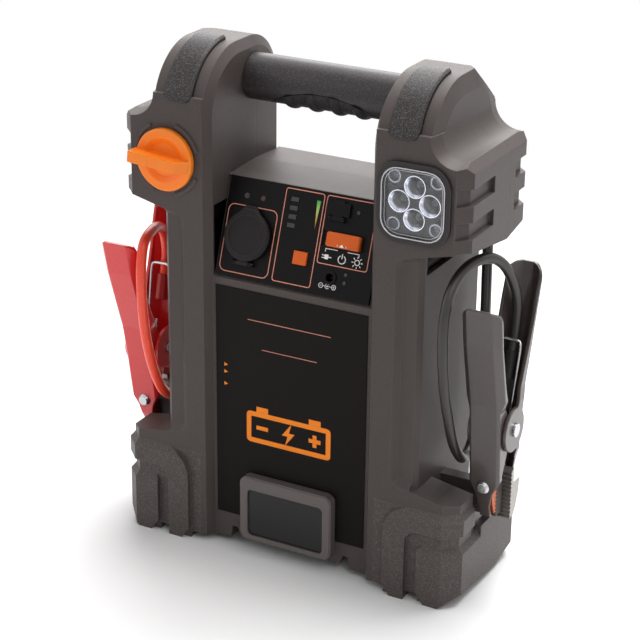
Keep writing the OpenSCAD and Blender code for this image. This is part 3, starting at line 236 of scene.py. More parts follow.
def make_speckle():
    """Coarse spark-eroded texture: pale specks on a darker ground."""
    tree, given, out = effect("coarse_speckle", [("Size", 0.001)], [("Mask", "NodeSocketFloat")])
    noise = noise_at(tree, math_node(tree, "DIVIDE", 1.0, given["Size"]), detail=1.0)
    above = math_node(tree, "SUBTRACT", noise, 0.5)
    raised = math_node(tree, "MULTIPLY", above, SPECK_CONTRAST, clamp=True)
    tree.links.new(raised, out["Mask"])
    return tree


GRAIN, DUST, SPECKLE = make_grain(), make_dust(), make_speckle()


def use(tree, effect_tree, **values):
    """A shared effect in a material, with its inputs set."""
    node = add(tree, "ShaderNodeGroup", node_tree=effect_tree)
    for label, value in values.items():
        node.inputs[label].default_value = value
    return node.outputs


# ---------------------------------------------------------------- materials

# Screen values of what lies on a finish or shows in it
DUST_GREY, SEAM_BLACK = (168, 162, 156), (22, 20, 19)
FOOT_SPECKS, PAD_SPECKS, GRIP_SPECKS = (122, 115, 112), (96, 90, 89), (88, 82, 84)
# A painted highlight along an edge is this much brighter than the finish
EDGE_HIGHLIGHT_GAIN, EDGE_HIGHLIGHT_LIFT = 2.2, 0.02
COAT_ROUGHNESS = 0.08


def finish(
    name, colour, roughness=0.5, metallic=0.0, size=0.0005, depth=0.3, mottle=0.15, edge=0.0006,
    edge_light=0.0, dust=0.0, coat=0.0, transmission=0.0, spec=0.5, zones=None,
):
    """One material: its colour with grain, softened edges, painted highlights along its edges and a little
    dust. zones repaints parts of it.

    size and edge are metres, colour is screen values, and the other values are shares from 0 to 1.
    """
    material = bpy.data.materials.new(name)
    material.use_nodes = True
    tree = material.node_tree
    shader = tree.nodes["Principled BSDF"]
    for label, value in (
        ("Roughness", roughness), ("Metallic", metallic), ("Specular IOR Level", spec),
        ("Coat Weight", coat), ("Coat Roughness", COAT_ROUGHNESS), ("Transmission Weight", transmission),
    ):
        shader.inputs[label].default_value = value
    grain = use(tree, GRAIN, Size=size, Depth=depth, Edge=edge)
    tree.links.new(grain["Normal"], shader.inputs["Normal"])
    base = linear(*colour)[:3]
    darker = [c * (1 - mottle) for c in base] + [1]
    lighter = [min(1, c * (1 + mottle)) for c in base] + [1]
    result = mixed(tree, grain["Mottle"], darker, lighter)
    if zones:
        result = zones(tree, result)
    # Painted highlight: edges are brightened where light would catch the bevels
    if edge_light:
        edge_highlight = [min(1, c * EDGE_HIGHLIGHT_GAIN + EDGE_HIGHLIGHT_LIFT) for c in base] + [1]
        result = mixed(tree, math_node(tree, "MULTIPLY", grain["Edges"], edge_light), result, edge_highlight)
    if dust:
        result = mixed(tree, use(tree, DUST, Amount=dust)["Mask"], result, linear(*DUST_GREY))
    tree.links.new(result, shader.inputs["Base Color"])
    return material


def specked(tree, colour, shade, amount, size=0.0009, zone=None):
    """Pale specks over a colour, everywhere or only where the zone is 1."""
    specks = use(tree, SPECKLE, Size=size)["Mask"]
    if zone is not None:
        specks = math_node(tree, "MULTIPLY", specks, zone)
    return mixed(tree, math_node(tree, "MULTIPLY", specks, amount), colour, linear(*shade))


def seam_and_feet(tree, colour):
    """The dark parting line between the shells, and the coarse texture of the feet."""
    x, y, z = object_xyz(tree)
    away = math_node(tree, "ABSOLUTE", math_node(tree, "SUBTRACT", y, (SEAM_Y - MID_Y) * MM))
    line = math_node(tree, "LESS_THAN", away, SEAM_HALF * MM)
    colour = mixed(tree, line, colour, linear(*SEAM_BLACK))
    outside = math_node(tree, "GREATER_THAN", math_node(tree, "ABSOLUTE", x), FOOT_X * MM)
    feet = math_node(tree, "MULTIPLY", math_node(tree, "LESS_THAN", z, FOOT_Z * MM), outside)
    return specked(tree, colour, FOOT_SPECKS, amount=0.3, zone=feet)


def pad_specks(tree, colour):
    """The coarse texture of the shoulder pads."""
    return specked(tree, colour, PAD_SPECKS, amount=0.6)


def grip_specks(tree, colour):
    """The faint texture of handle and grip."""
    return specked(tree, colour, GRIP_SPECKS, amount=0.3, size=0.001)


def sum_of_squares(tree, a, b):
    """The square of a distance from its two legs."""
    return math_node(tree, "ADD", math_node(tree, "MULTIPLY", a, a), math_node(tree, "MULTIPLY", b, b))


def off_axis(tree, across, upward):
    """Distance in millimetres of the shaded point from a line along the lamp's axis."""
    x, _, z = object_xyz(tree)
    dx = math_node(tree, "SUBTRACT", math_node(tree, "DIVIDE", x, MM), LAMP_X + across)
    dz = math_node(tree, "SUBTRACT", math_node(tree, "DIVIDE", z, MM), POD_Z + upward)
    return math_node(tree, "SQRT", sum_of_squares(tree, dx, dz))


def nearest_of(tree, places):
    """Distance in millimetres from the nearest of several lines along the lamp's axis."""
    nearest = 100.0
    for across, upward in places:
        nearest = math_node(tree, "MINIMUM", off_axis(tree, across, upward), nearest)
    return nearest


def graded(tree, share, stops):
    """A colour that runs through several stops, each a share from 0 to 1 with its screen values."""
    ramp = tree.nodes.new("ShaderNodeValToRGB")
    while len(ramp.color_ramp.elements) < len(stops):
        ramp.color_ramp.elements.new(0.5)
    for stop, (place, shade) in zip(ramp.color_ramp.elements, stops):
        stop.position = place
        stop.color = linear(*shade)
    tree.links.new(share, ramp.inputs[0])
    return ramp.outputs[0]


def painted_plating(tree, distance, reach, shades):
    """Bluish greys of painted reflection and painted shade that follow a distance from 0 to its reach."""
    share = math_node(tree, "DIVIDE", distance, reach, clamp=True)
    return graded(tree, share, [(place / reach, (grey, grey, grey + 2)) for place, grey in shades])


def painted_lamp_light(tree, colour):
    """Painted reflections on the plating, bright at the mouths of the cups, with painted shade in their
    middles, and painted highlight arcs on the corner pillars.
    """
    cups = nearest_of(tree, [(0, CUP_STEP), (0, -CUP_STEP), (CUP_STEP, 0), (-CUP_STEP, 0)])
    in_cup = math_node(tree, "LESS_THAN", cups, CUP_R)
    colour = mixed(tree, in_cup, colour, painted_plating(tree, cups, CUP_R, CUP_PAINTED_LIGHT))
    pillars = nearest_of(tree, [(sx * PILLAR_X, sz * PILLAR_Z) for sx in (1, -1) for sz in (1, -1)])
    on_pillar = math_node(tree, "LESS_THAN", pillars, PILLAR_R)
    return mixed(tree, on_pillar, colour, painted_plating(tree, pillars, PILLAR_R, PILLAR_PAINTED_LIGHT))


def level_fade(tree, _):
    """Green at the top through yellow to dark red at the foot of the level wedge."""
    foot = (PANEL_Z + WEDGE_FOOT * math.cos(TILT)) * MM
    height = (WEDGE_TOP - WEDGE_FOOT) * math.cos(TILT) * MM
    above = math_node(tree, "SUBTRACT", object_xyz(tree)["Z"], foot)
    return graded(tree, math_node(tree, "DIVIDE", above, height, clamp=True), WEDGE_SHADES)


MATERIALS = {
    "case_plastic": finish("case plastic", (68, 60, 58), 0.5, size=0.0007, depth=0.8, mottle=0.35, spec=0.3,
                           edge=0.0008, edge_light=0.6, dust=0.14, zones=seam_and_feet),
    "charcoal_plastic": finish("charcoal plastic", (38, 33, 34), 0.4, size=0.0008, depth=0.4, mottle=0.4,
                               edge=0.0006, spec=0.4, zones=grip_specks),
    "dark_rubber": finish("dark rubber", (26, 23, 24), 0.65, size=0.0009, depth=0.6, mottle=0.35, spec=0.35,
                          zones=grip_specks),
    "pad_plastic": finish("pad plastic", (32, 28, 29), 0.45, size=0.001, depth=1.0, mottle=0.4, edge=0.001,
                          edge_light=0.9, spec=0.35, zones=pad_specks),
    "panel_black": finish("panel black", (11, 8, 8), 0.4, size=0.0004, depth=0.12, edge=0.0005,
                          edge_light=0.3, spec=0.12),
    "label_film": finish("label film", (16, 11, 10), 0.45, size=0.0008, depth=0.05, mottle=0.08, edge=0.0003,
                         spec=0.1),
    "badge_grey": finish("badge grey", (92, 85, 83), 0.45, size=0.0006, depth=0.2, edge=0.001, edge_light=0.3,
                         spec=0.4),
    "badge_black": finish("badge black", (8, 7, 7), 0.14, size=0.0008, depth=0.02, mottle=0.1, coat=0.3,
                          spec=0.3),
    "contact_brass": finish("contact brass", (196, 158, 88), 0.3, metallic=1.0, depth=0.05, mottle=0.05),
    "bright_steel": finish("bright steel", (190, 190, 192), 0.24, metallic=1.0, depth=0.06, mottle=0.05),
    "orange_plastic": finish("orange plastic", (250, 130, 30), 0.36, size=0.0009, depth=0.04, mottle=0.06,
                             edge=0.0009, edge_light=0.45, spec=0.35),
    "switch_plastic": finish("switch plastic", (70, 64, 58), 0.5),
    "clear_lens": finish("clear lens", (246, 249, 255), 0.02, depth=0.0, mottle=0.0, transmission=1.0,
                         spec=0.12),
    "bezel_plastic": finish("bezel plastic", (34, 29, 29), 0.3, depth=0.1, edge=0.0012, edge_light=0.9,
                            spec=0.35),
    # The plating's zones are painted reflections and painted shade in the cups and on the pillars
    "reflector_chrome": finish("reflector chrome", (44, 39, 40), 0.14, metallic=1.0, depth=0.0, mottle=0.0,
                               zones=painted_lamp_light),
    "led_yellow": finish("led yellow", (52, 48, 40), 0.15, depth=0.0, mottle=0.1, coat=0.6),
    "board_green": finish("board green", (40, 104, 66), 0.4),
    "battery_case": finish("battery case", (84, 82, 80), 0.5),
    "lead_grey": finish("lead grey", (150, 148, 144), 0.4, metallic=1.0),
    "strap_steel": finish("strap steel", (150, 148, 144), 0.35, metallic=1.0),
    "red_cable_jacket": finish("red cable jacket", (236, 70, 44), 0.35, size=0.002, depth=0.08, mottle=0.08),
    "black_cable_jacket": finish("black cable jacket", (44, 39, 38), 0.34, size=0.002, depth=0.1,
                                 mottle=0.12),
    "red_vinyl": finish("red vinyl", (208, 28, 32), 0.3, size=0.003, depth=0.12, mottle=0.1, edge=0.0015,
                        edge_light=0.25, coat=0.3),
    "black_vinyl": finish("black vinyl", (70, 62, 60), 0.3, size=0.003, depth=0.12, mottle=0.12,
                          edge=0.0015, edge_light=0.35, coat=0.25),
    "jaw_steel": finish("jaw steel", (150, 146, 142), 0.35, metallic=1.0, depth=0.15, mottle=0.1,
                        edge=0.0005, edge_light=0.3),
    "jaw_copper": finish("jaw copper", (186, 100, 64), 0.35, metallic=1.0, depth=0.1, mottle=0.12,
                         edge=0.0005, edge_light=0.3),
}
DARK_SLEEVE = finish("dark lug sleeve", (30, 26, 26), 0.5, depth=0.1, spec=0.3)
RED_SLEEVE = finish("red lug sleeve", (150, 20, 24), 0.4, depth=0.1)
SWITCH_ORANGE = finish("switch orange", (206, 90, 26), 0.45, size=0.0009, depth=0.04, mottle=0.06,
                       edge=0.0006, edge_light=0.5, spec=0.3)
SMOKED = finish("smoked lens", (24, 21, 21), 0.25, depth=0.02, mottle=0.1, edge=0.0004, edge_light=0.25,
                coat=0.2)
CAP_BLACK = finish("socket cap plastic", (26, 21, 22), 0.5, size=0.0007, depth=0.3, mottle=0.25,
                   edge=0.0009, edge_light=0.9, spec=0.2)
# What marks are printed with. The lens has painted highlights along its edges instead of ink.
INKS = {
    "salmon": finish("salmon ink", (232, 152, 130), 0.5, depth=0.05, mottle=0.05, spec=0.2),
    "white": finish("white ink", (240, 236, 234), 0.5, depth=0.05, mottle=0.04, spec=0.2),
    "orange": finish("orange ink", (244, 134, 30), 0.45, depth=0.05, mottle=0.04, spec=0.2),
    "grey": finish("grey ink", (126, 118, 116), 0.5, depth=0.05, mottle=0.05, spec=0.2),
    "red": finish("red ink", (140, 60, 60), 0.5, depth=0.05, mottle=0.05, spec=0.2),
    # Painted highlight for the lens edges
    "painted_highlight": finish("frosted lens edge", (212, 210, 214), 0.3, depth=0.0, mottle=0.1, spec=0.3),
    "level": finish("level ink", (80, 150, 80), 0.5, depth=0.05, mottle=0.0, spec=0.2, zones=level_fade),
}
# Sub-parts that don't have the plain finish of their slot
OWN_FINISH = {
    "indicator_lenses": SMOKED, "socket_cap": CAP_BLACK,
    "left_cable_lug": RED_SLEEVE, "right_cable_lug": DARK_SLEEVE,
    "slide_knob": SWITCH_ORANGE, "test_button": SWITCH_ORANGE,
}

for part in frame["record"]["subparts"]:
    obj = frame["nodes"][part["node"]]
    obj.data.materials.clear()
    obj.data.materials.append(OWN_FINISH.get(part["node"], MATERIALS[part["material_slot"]]))

# ---------------------------------------------------------------- shapes that follow a rule


def shape_tree(name, sizes):
    """An empty geometry tree with named inputs. Gives the tree, its inputs' sockets and their identifiers."""
    tree = bpy.data.node_groups.new(name, "GeometryNodeTree")
    tree.interface.new_socket("Geometry", in_out="INPUT", socket_type="NodeSocketGeometry")
    keys = {}
    for label, kind, value in (*sizes, ("Material", "NodeSocketMaterial", None)):
        socket = tree.interface.new_socket(label, in_out="INPUT", socket_type=kind)
        if value is not None:
            socket.default_value = value
        keys[label] = socket.identifier
    tree.interface.new_socket("Geometry", in_out="OUTPUT", socket_type="NodeSocketGeometry")
    return tree, tree.nodes.new("NodeGroupInput").outputs, keys


def end_tree(tree, given, geometry):
    """The last nodes of a tree: real geometry with its material."""
    real = tree.nodes.new("GeometryNodeRealizeInstances")
    paint = tree.nodes.new("GeometryNodeSetMaterial")
    out = tree.nodes.new("NodeGroupOutput")
    tree.links.new(geometry, real.inputs[0])
    tree.links.new(real.outputs[0], paint.inputs["Geometry"])
    tree.links.new(given["Material"], paint.inputs["Material"])
    tree.links.new(paint.outputs[0], out.inputs[0])


def make_round_wire():
    """A round wire with closed ends along a line of edges."""
    tree, given, keys = shape_tree(
        "round_wire", [("Radius", "NodeSocketFloat", 0.001), ("Sides", "NodeSocketInt", 16)]
    )
    path = tree.nodes.new("GeometryNodeMeshToCurve")
    section = tree.nodes.new("GeometryNodeCurvePrimitiveCircle")
    skin = tree.nodes.new("GeometryNodeCurveToMesh")
    smooth = tree.nodes.new("GeometryNodeSetShadeSmooth")
    skin.inputs["Fill Caps"].default_value = True
    tree.links.new(given["Geometry"], path.inputs["Mesh"])
    tree.links.new(given["Radius"], section.inputs["Radius"])
    tree.links.new(given["Sides"], section.inputs["Resolution"])
    tree.links.new(path.outputs[0], skin.inputs["Curve"])
    tree.links.new(section.outputs[0], skin.inputs["Profile Curve"])
    tree.links.new(skin.outputs[0], smooth.inputs["Geometry"])
    end_tree(tree, given, smooth.outputs[0])
    return tree, keys


def make_ray_ring():
    """Short bars that stand round a ring, each turned to point away from its middle."""
    tree, given, keys = shape_tree(
        "ray_ring",
        [
            ("Count", "NodeSocketInt", 8),
            ("Radius", "NodeSocketFloat", 3.5),
            ("Size", "NodeSocketVector", (1, 1, 1)),
        ],
    )
    circle = tree.nodes.new("GeometryNodeMeshCircle")
    ray = tree.nodes.new("GeometryNodeMeshCube")
    place = tree.nodes.new("GeometryNodeInstanceOnPoints")
    index = tree.nodes.new("GeometryNodeInputIndex")
    heading = tree.nodes.new("ShaderNodeCombineXYZ")
    tree.links.new(given["Count"], circle.inputs["Vertices"])
    tree.links.new(given["Radius"], circle.inputs["Radius"])
    tree.links.new(given["Size"], ray.inputs["Size"])
    step = math_node(tree, "DIVIDE", 2 * math.pi, given["Count"])
    tree.links.new(math_node(tree, "MULTIPLY", index.outputs[0], step), heading.inputs["Z"])
    tree.links.new(circle.outputs["Mesh"], place.inputs["Points"])
    tree.links.new(ray.outputs["Mesh"], place.inputs["Instance"])
    tree.links.new(heading.outputs[0], place.inputs["Rotation"])
    end_tree(tree, given, place.outputs[0])
    return tree, keys


ROUND_WIRE, RAY_RING = make_round_wire(), make_ray_ring()


def keep(name, mesh, body="case"):
    """A finished mesh as a piece: normals outward, at the origin, riding on a body."""
    shape = bmesh.new()
    shape.from_mesh(mesh)
    bmesh.ops.recalc_face_normals(shape, faces=shape.faces)
    shape.to_mesh(mesh)
    shape.free()
    mesh.name = name
    obj = bpy.data.objects.new(name, mesh)
    bpy.context.scene.collection.objects.link(obj)
    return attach(obj, body)


def grown(name, vertices, edges, recipe, values, material, place=None, body="case"):
    """Runs a geometry tree on a few points and edges, and keeps the plain mesh that it makes."""
    tree, keys = recipe
    seed = bpy.data.meshes.new(name)
    seed.from_pydata(vertices, edges, [])
    holder = bpy.data.objects.new(name, seed)
    bpy.context.scene.collection.objects.link(holder)
    modifier = holder.modifiers.new("grow", "NODES")
    modifier.node_group = tree
    for label, value in {**values, "Material": material}.items():
        modifier[keys[label]] = value
    bpy.context.view_layer.update()
    mesh = bpy.data.meshes.new_from_object(holder.evaluated_get(bpy.context.evaluated_depsgraph_get()))
    bpy.data.objects.remove(holder)
    if place is not None:
        mesh.transform(place)
    return keep(name, mesh, body)


# Flats round a cable and round a spring's wire
CABLE_SIDES, WIRE_SIDES = 24, 12


def wire(name, line, radius, sides, material):
    """A round wire along points given in the row frame, in metres."""
    links = [(k, k + 1) for k in range(len(line) - 1)]
    return grown(name, line, links, ROUND_WIRE, {"Radius": radius, "Sides": sides}, material)


# ---------------------------------------------------------------- cables


def smooth_points(route, steps):
    """Catmull-Rom points through a route."""
    out = []
    last = len(route) - 1
    for i in range(last):
        a, b, c, d = (Vector(route[k]) for k in (max(i - 1, 0), i, i + 1, min(i + 2, last)))
        for k in range(steps):
            t = k / steps
            bend = (2 * a - 5 * b + 4 * c - d) * t * t + (3 * b - a - 3 * c + d) * t * t * t
            out.append(0.5 * (2 * b + (c - a) * t + bend))
    out.append(Vector(route[-1]))
    return out


def at_clamp(p, hang):
    """A point of a hanging clamp, in the case's own place."""
    lean, shift_y, shift_z = hang
    return Vector((
        CLAMP_X + p[0],
        PIVOT_Y + shift_y + p[1] * math.cos(lean) - p[2] * math.sin(lean),
        PIVOT_Z + shift_z + p[1] * math.sin(lean) + p[2] * math.cos(lean),
    ))


def lug_at(t):
    """A point on the axis of the cable lug."""
    return 0, LUG_Y + t * math.sin(LUG_TILT), LUG_Z + t * math.cos(LUG_TILT)


# Down inside the bay from the gland, under the loop's foot, then up in front and over into the clamp's lug
DOWN = [
    (107, 76, 240), (107, 76, 215), (107, 77, 180), (107, 77, 142), (107, 74, 116), (107.5, 68, 100),
    (108.5, 59, 91),
]
LOOPS = {
    "right": [
        (109.5, 48, 88), (110, 38.5, 92), (110, 27, 106), (110, 18, 126), (110, 9.5, 150), (110, 4.8, 176),
        (110, 4.5, 198), (110.5, 9, 214.5), (112.5, 19.5, 226), (116.5, 32.5, 231.5), (122, 46.5, 231),
        (127, 58, 222.5), (130, 67, 207.5), (131, 72, 193),
    ],
    "left": [
        (109.5, 46, 87), (110, 33, 89), (110, 20.9, 98), (110, 9.5, 119.2), (110.3, 1.9, 146.9),
        (110.7, -0.6, 172.1), (111, -0.2, 195.9), (112.3, 6, 210.7), (117, 23.7, 213.6), (122, 39, 210),
        (126.5, 51.5, 202.5), (129.8, 59, 193.5),
    ],
}

# Places along the lug's axis, from its mouth inwards
LUG_STEPS = (32, 14, 4)
JACKETS = {"left": "red_cable_jacket", "right": "black_cable_jacket"}

for side_name, sign in SIDES:
    route = DOWN + LOOPS[side_name] + [at_clamp(lug_at(t), HANGS[side_name]) for t in LUG_STEPS]
    line = [point(sign * p[0], p[1], p[2]) for p in smooth_points(route, steps=6)]
    jacket = JACKETS[side_name]
    cable = wire(f"{side_name}_lead", line, CABLE_R * MM, CABLE_SIDES, MATERIALS[jacket])
    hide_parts(f"{side_name}_cable")

# ---------------------------------------------------------------- clamp springs

LEG_X = SPRING_W / 2
# The short leg rests on the front arm. The long one runs up the rear arm and crosses in front of the cable.
START_LEG = [(-LEG_X, -2.5, 22), (-LEG_X, 0.6 - SPRING_R, 11)]
END_LEG = [
    (LEG_X + 0.2, 7.5, 13), (LEG_X + 0.3, 12.5, 32), (LEG_X + 0.3, 17.2, 50.5), (LEG_X - 1.6, 18.6, 53.6),
    (0, 18.8, 54), (1.6 - LEG_X, 18.6, 53.6), (-LEG_X, 16.6, 47),
]
# The coil starts at the front, ends half a turn past its whole turns, and has a point every 15 degrees
CURL_STEP = math.radians(15)
CURL_STEPS = 24 * SPRING_TURNS + 12


def spring_line():
    """The spring's wire: a leg, the coil round the pin and the other leg."""
    curls = []
    for k in range(CURL_STEPS + 1):
        angle = math.pi + CURL_STEP * k
        along = (k / CURL_STEPS - 0.5) * SPRING_W
        curls.append((along, SPRING_R * math.cos(angle), SPRING_R * math.sin(angle)))
    start = smooth_points([*START_LEG, curls[0]], steps=3)[:-1]
    end = smooth_points([curls[-1], *END_LEG], steps=4)[1:]
    return start + curls + end


for side_name, sign in SIDES:
    places = [at_clamp(p, HANGS[side_name]) for p in spring_line()]
    line = [point(sign * p.x, p.y, p.z) for p in places]
    spring = wire(f"{side_name}_clamp_spring_wire", line, WIRE_R * MM, WIRE_SIDES, MATERIALS["bright_steel"])
    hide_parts(f"{side_name}_clamp_spring")

# ---------------------------------------------------------------- printed marks

# A mark starts just under its face and stands out a little
INK_NEAR, INK_FAR = -0.05, 0.06


def printed(name, loops, place, ink, rise=0.0, body="case"):
    """Thin closed plates on a face, or on what rises over it.

    Each loop is an outline, or a pair of outlines that makes a ring.
    """
    vertices, faces = [], []
    for loop in loops:
        outer, inner = loop if isinstance(loop, tuple) else (loop, None)
        count = len(outer)
        base = len(vertices)
        for rim in (outer, inner) if inner else (outer,):
            for depth in (rise + INK_NEAR, rise + INK_FAR):
                vertices += [place @ Vector((p[0], p[1], depth)) for p in rim]
        for k in range(count):
            m = (k + 1) % count
            # The first vertices of the outer outline, near and far, and of the inner one, near and far
            a, b, c, d = (base + row * count for row in range(4))
            faces.append([a + k, a + m, b + m, b + k])
            if inner:
                faces.append([c + m, c + k, d + k, d + m])
                faces.append([b + k, b + m, d + m, d + k])
                faces.append([a + m, a + k, c + k, c + m])
        if not inner:
            faces.append([base + k for k in reversed(range(count))])
            faces.append([base + count + k for k in range(count)])
    mesh = bpy.data.meshes.new(name)
    mesh.from_pydata(vertices, [], faces)
    mesh.materials.append(INKS[ink])
    return keep(name, mesh, body)


def rounded(cx, cy, w, h, r, steps=5):
    """Outline of a rounded rectangle."""
    out = []
    for k, (sx, sy) in enumerate(((1, 1), (-1, 1), (-1, -1), (1, -1))):
        for j in range(steps + 1):
            a = math.radians(90 * k + 90 * j / steps)
            out.append((cx + sx * (w / 2 - r) + r * math.cos(a), cy + sy * (h / 2 - r) + r * math.sin(a)))
    return out


def outline(cx, cy, w, h, r, stroke):
    """A rounded rectangle drawn as a line."""
    return rounded(cx, cy, w, h, r), rounded(cx, cy, w - 2 * stroke, h - 2 * stroke, max(r - stroke, 0.1))


def disc(cx, cy, r, count=28):
    """Outline of a disc."""
    angles = [2 * math.pi * k / count for k in range(count)]
    return [(cx + r * math.cos(a), cy + r * math.sin(a)) for a in angles]


def ring(cx, cy, r, stroke):
    """A circle drawn as a line."""
    return disc(cx, cy, r + stroke / 2), disc(cx, cy, r - stroke / 2)


def bar(x0, y0, x1, y1, stroke):
    """A straight stroke."""
    dx, dy = x1 - x0, y1 - y0
    n = math.hypot(dx, dy)
    px, py = -dy / n * stroke / 2, dx / n * stroke / 2
    return [(x0 - px, y0 - py), (x1 - px, y1 - py), (x1 + px, y1 + py), (x0 + px, y0 + py)]


def arc(cx, cy, r, stroke, start, end, steps=20):
    """A stroke along part of a circle."""
    angles = [math.radians(start + (end - start) * k / steps) for k in range(steps + 1)]
    outer, inner = r + stroke / 2, r - stroke / 2
    there = [(cx + outer * math.cos(a), cy + outer * math.sin(a)) for a in angles]
    return there + [(cx + inner * math.cos(a), cy + inner * math.sin(a)) for a in reversed(angles)]


def plus(cx, cy, reach, stroke, gap):
    """A plus sign: a bar across, and above and below it an upright that starts at the gap."""
    uprights = [bar(cx, cy + s * gap, cx, cy + s * reach, stroke) for s in (1, -1)]
    return [bar(cx - reach, cy, cx + reach, cy, stroke), *uprights]


# Frames round the socket, the level lights and the switch: middle, width, height and corner
PANEL_FRAMES = ((-36.4, 25.5, 37, 45, 4.5), (-0.6, 33.8, 28.6, 61.5, 2), (33.4, 42.4, 36.4, 44.4, 2))
FRAME_STROKE = 0.6
printed("panel_frames", [outline(*box, FRAME_STROKE) for box in PANEL_FRAMES], PANEL, "salmon")
printed("level_wedge", [[(8.4, WEDGE_TOP), (9.9, WEDGE_FOOT), (11.3, WEDGE_TOP)]], PANEL, "level")

# Plug sign, power sign and light sign in a row, and the lines that tie the outer two to the slide knob
SIGN_V, TIE_V = 25.2, 30.5
PLUG_U, POWER_U, SUN_U = 21.6, 32.7, 43.7
# Each tie runs across between two places, and turns down at a third
TIES = ((20.0, 28.8, 20.25), (36.0, 44.5, 44.25))
printed(
    "switch_signs",
    [
        arc(POWER_U, SIGN_V, 2.6, 0.65, 115, 425),
        bar(POWER_U, SIGN_V + 0.4, POWER_U, SIGN_V + 3.7, 0.65),
        ring(SUN_U, SIGN_V, 1.7, 0.6),
        rounded(PLUG_U, SIGN_V, 2.8, 3.2, 0.6),
        *[bar(PLUG_U - 3.4, v, PLUG_U - 1.3, v, 0.6) for v in (SIGN_V - 0.8, SIGN_V + 0.8)],
        bar(PLUG_U + 1.3, SIGN_V, PLUG_U + 3.6, SIGN_V, 0.7),
        *[bar(start, TIE_V, end, TIE_V, 0.5) for start, end, _ in TIES],
        *[bar(u, TIE_V - 0.2, u, TIE_V - 2.1, 0.5) for _, _, u in TIES],
    ],
    PANEL, "white",
)
grown(
    "light_sign_rays", [(0, 0, 0)], [], RAY_RING,
    {"Count": 8, "Radius": 3.3, "Size": (1.3, 0.6, 0.12)}, INKS["white"],
    place=PANEL @ Matrix.Translation((SUN_U, SIGN_V, 0)),
)

# Polarity sign of the charging jack: minus in a ring, an open ring round the centre contact, plus in a ring
MINUS_U, CONTACT_U, PLUS_U, JACK_V = 21.0, 25.7, 30.3, 6.7
JACK_R, JACK_STROKE = 1.5, 0.4
printed(
    "polarity_sign",
    [
        ring(MINUS_U, JACK_V, JACK_R, JACK_STROKE),
        bar(MINUS_U - 0.8, JACK_V, MINUS_U + 0.8, JACK_V, JACK_STROKE),
        bar(22.7, JACK_V, 24.0, JACK_V, JACK_STROKE),
        arc(CONTACT_U, JACK_V, JACK_R, JACK_STROKE, 40, 320), disc(CONTACT_U, JACK_V, 0.6),
        bar(CONTACT_U + 0.5, JACK_V, 28.6, JACK_V, JACK_STROKE),
        ring(PLUS_U, JACK_V, JACK_R, JACK_STROKE),
        *plus(PLUS_U, JACK_V, 0.8, JACK_STROKE, 0.25),
    ],
    PANEL, "white",
)

# Rings round the two charge lights
LIGHT_V = 54.3
printed("left_light_ring", [ring(-42.7, LIGHT_V, 1.5, 0.35)], PANEL, "grey")
printed("right_light_ring", [ring(-30.6, LIGHT_V, 1.5, 0.35)], PANEL, "red")

# Painted highlights along the edges of the lens, on its raised rim and at the step inside it: inset, corner,
# stroke and rise
LENS_HIGHLIGHTS = {"lens_rim_highlight": (0.8, 11.6, 0.7, 2.4), "lens_step_highlight": (4.6, 9.7, 0.35, 1.2)}
for edge_name, (inset, corner, stroke, rise) in LENS_HIGHLIGHTS.items():
    edge = outline(LAMP_X, POD_Z, LENS_W - inset, LENS_H - inset, corner, stroke)
    printed(edge_name, [edge], FRONT, "painted_highlight", rise=rise)

# Arrow head between two dashes on the slide knob, which stands proud of the panel
SLIDE_TOP = 3.1
ARROW_U, ARROW_V = 32.5, 32.9
printed(
    "slide_arrow",
    [
        [(ARROW_U - 1.9, ARROW_V), (ARROW_U + 1.9, ARROW_V), (ARROW_U, ARROW_V + 2)],
        *[bar(u, ARROW_V + 0.2, u, ARROW_V + 1.4, 0.4) for u in (ARROW_U - 3.1, ARROW_U + 3.1)],
    ],
    PANEL, "white", rise=SLIDE_TOP, body="slider",
)

# The label: two thin rules, three pointers, and a plain battery sign where the big figure would be
# Each rule runs between two places, at a height
RULES = ((-32, 30, 171.9), (-21.3, 20, 152))
POINTER_X, POINTER_HEIGHTS = -50.3, (135.8, 130.6, 121.8)
printed("label_rules", [bar(start, z, end, z, 0.5) for start, end, z in RULES], LABEL, "salmon")
printed(
    "label_pointers",
    [[(POINTER_X, z - 1.4), (POINTER_X + 3, z), (POINTER_X, z + 1.4)] for z in POINTER_HEIGHTS],
    LABEL, "orange",
)

# The battery sign: case, two poles, minus, plus, and a bolt whose lower half is its upper half turned round
BATTERY_X, BATTERY_Z, POLE_STEP = -1, 94.5, 20
HALF_BOLT = ((2.5, 8.5), (-5, -1.3), (-0.6, -1.3))
left_pole, right_pole = BATTERY_X - POLE_STEP, BATTERY_X + POLE_STEP
printed(
    "battery_sign",
    [
        outline(BATTERY_X, BATTERY_Z, 64, 23, 3, 3.6),
        *[bar(x, BATTERY_Z + 11.5, x, BATTERY_Z + 15.5, 9) for x in (left_pole, right_pole)],
        bar(left_pole - 4.5, BATTERY_Z, left_pole + 4.5, BATTERY_Z, 3),
        *plus(right_pole, BATTERY_Z, 4.5, 3, 1.5),
        [(BATTERY_X + turned * x, BATTERY_Z + turned * z) for turned in (1, -1) for x, z in HALF_BOLT],
    ],
    LABEL, "orange",
)
bpy.context.view_layer.update()

# ---------------------------------------------------------------- floor and light

FLOOR_REACH = 4.0
# Away from the object the camera sees plain white: where that starts, and over what distance
FADE_START, FADE_LENGTH = 0.4, 0.5
# The white room, as light, and as what the camera sees, also in shiny faces and through the lens
ROOM_LIGHT, ROOM_SEEN = 0.34, 1.0


def soft_light(name, place, aim, size, power):
    """A large lamp that looks at a place."""
    data = bpy.data.lights.new(name, "AREA")
    data.shape = "RECTANGLE"
    data.size, data.size_y = size
    data.energy = power
    lamp = bpy.data.objects.new(name, data)
    bpy.context.scene.collection.objects.link(lamp)
    lamp.location = place
    lamp.rotation_euler = (Vector(aim) - Vector(place)).to_track_quat("-Z", "Y").to_euler()


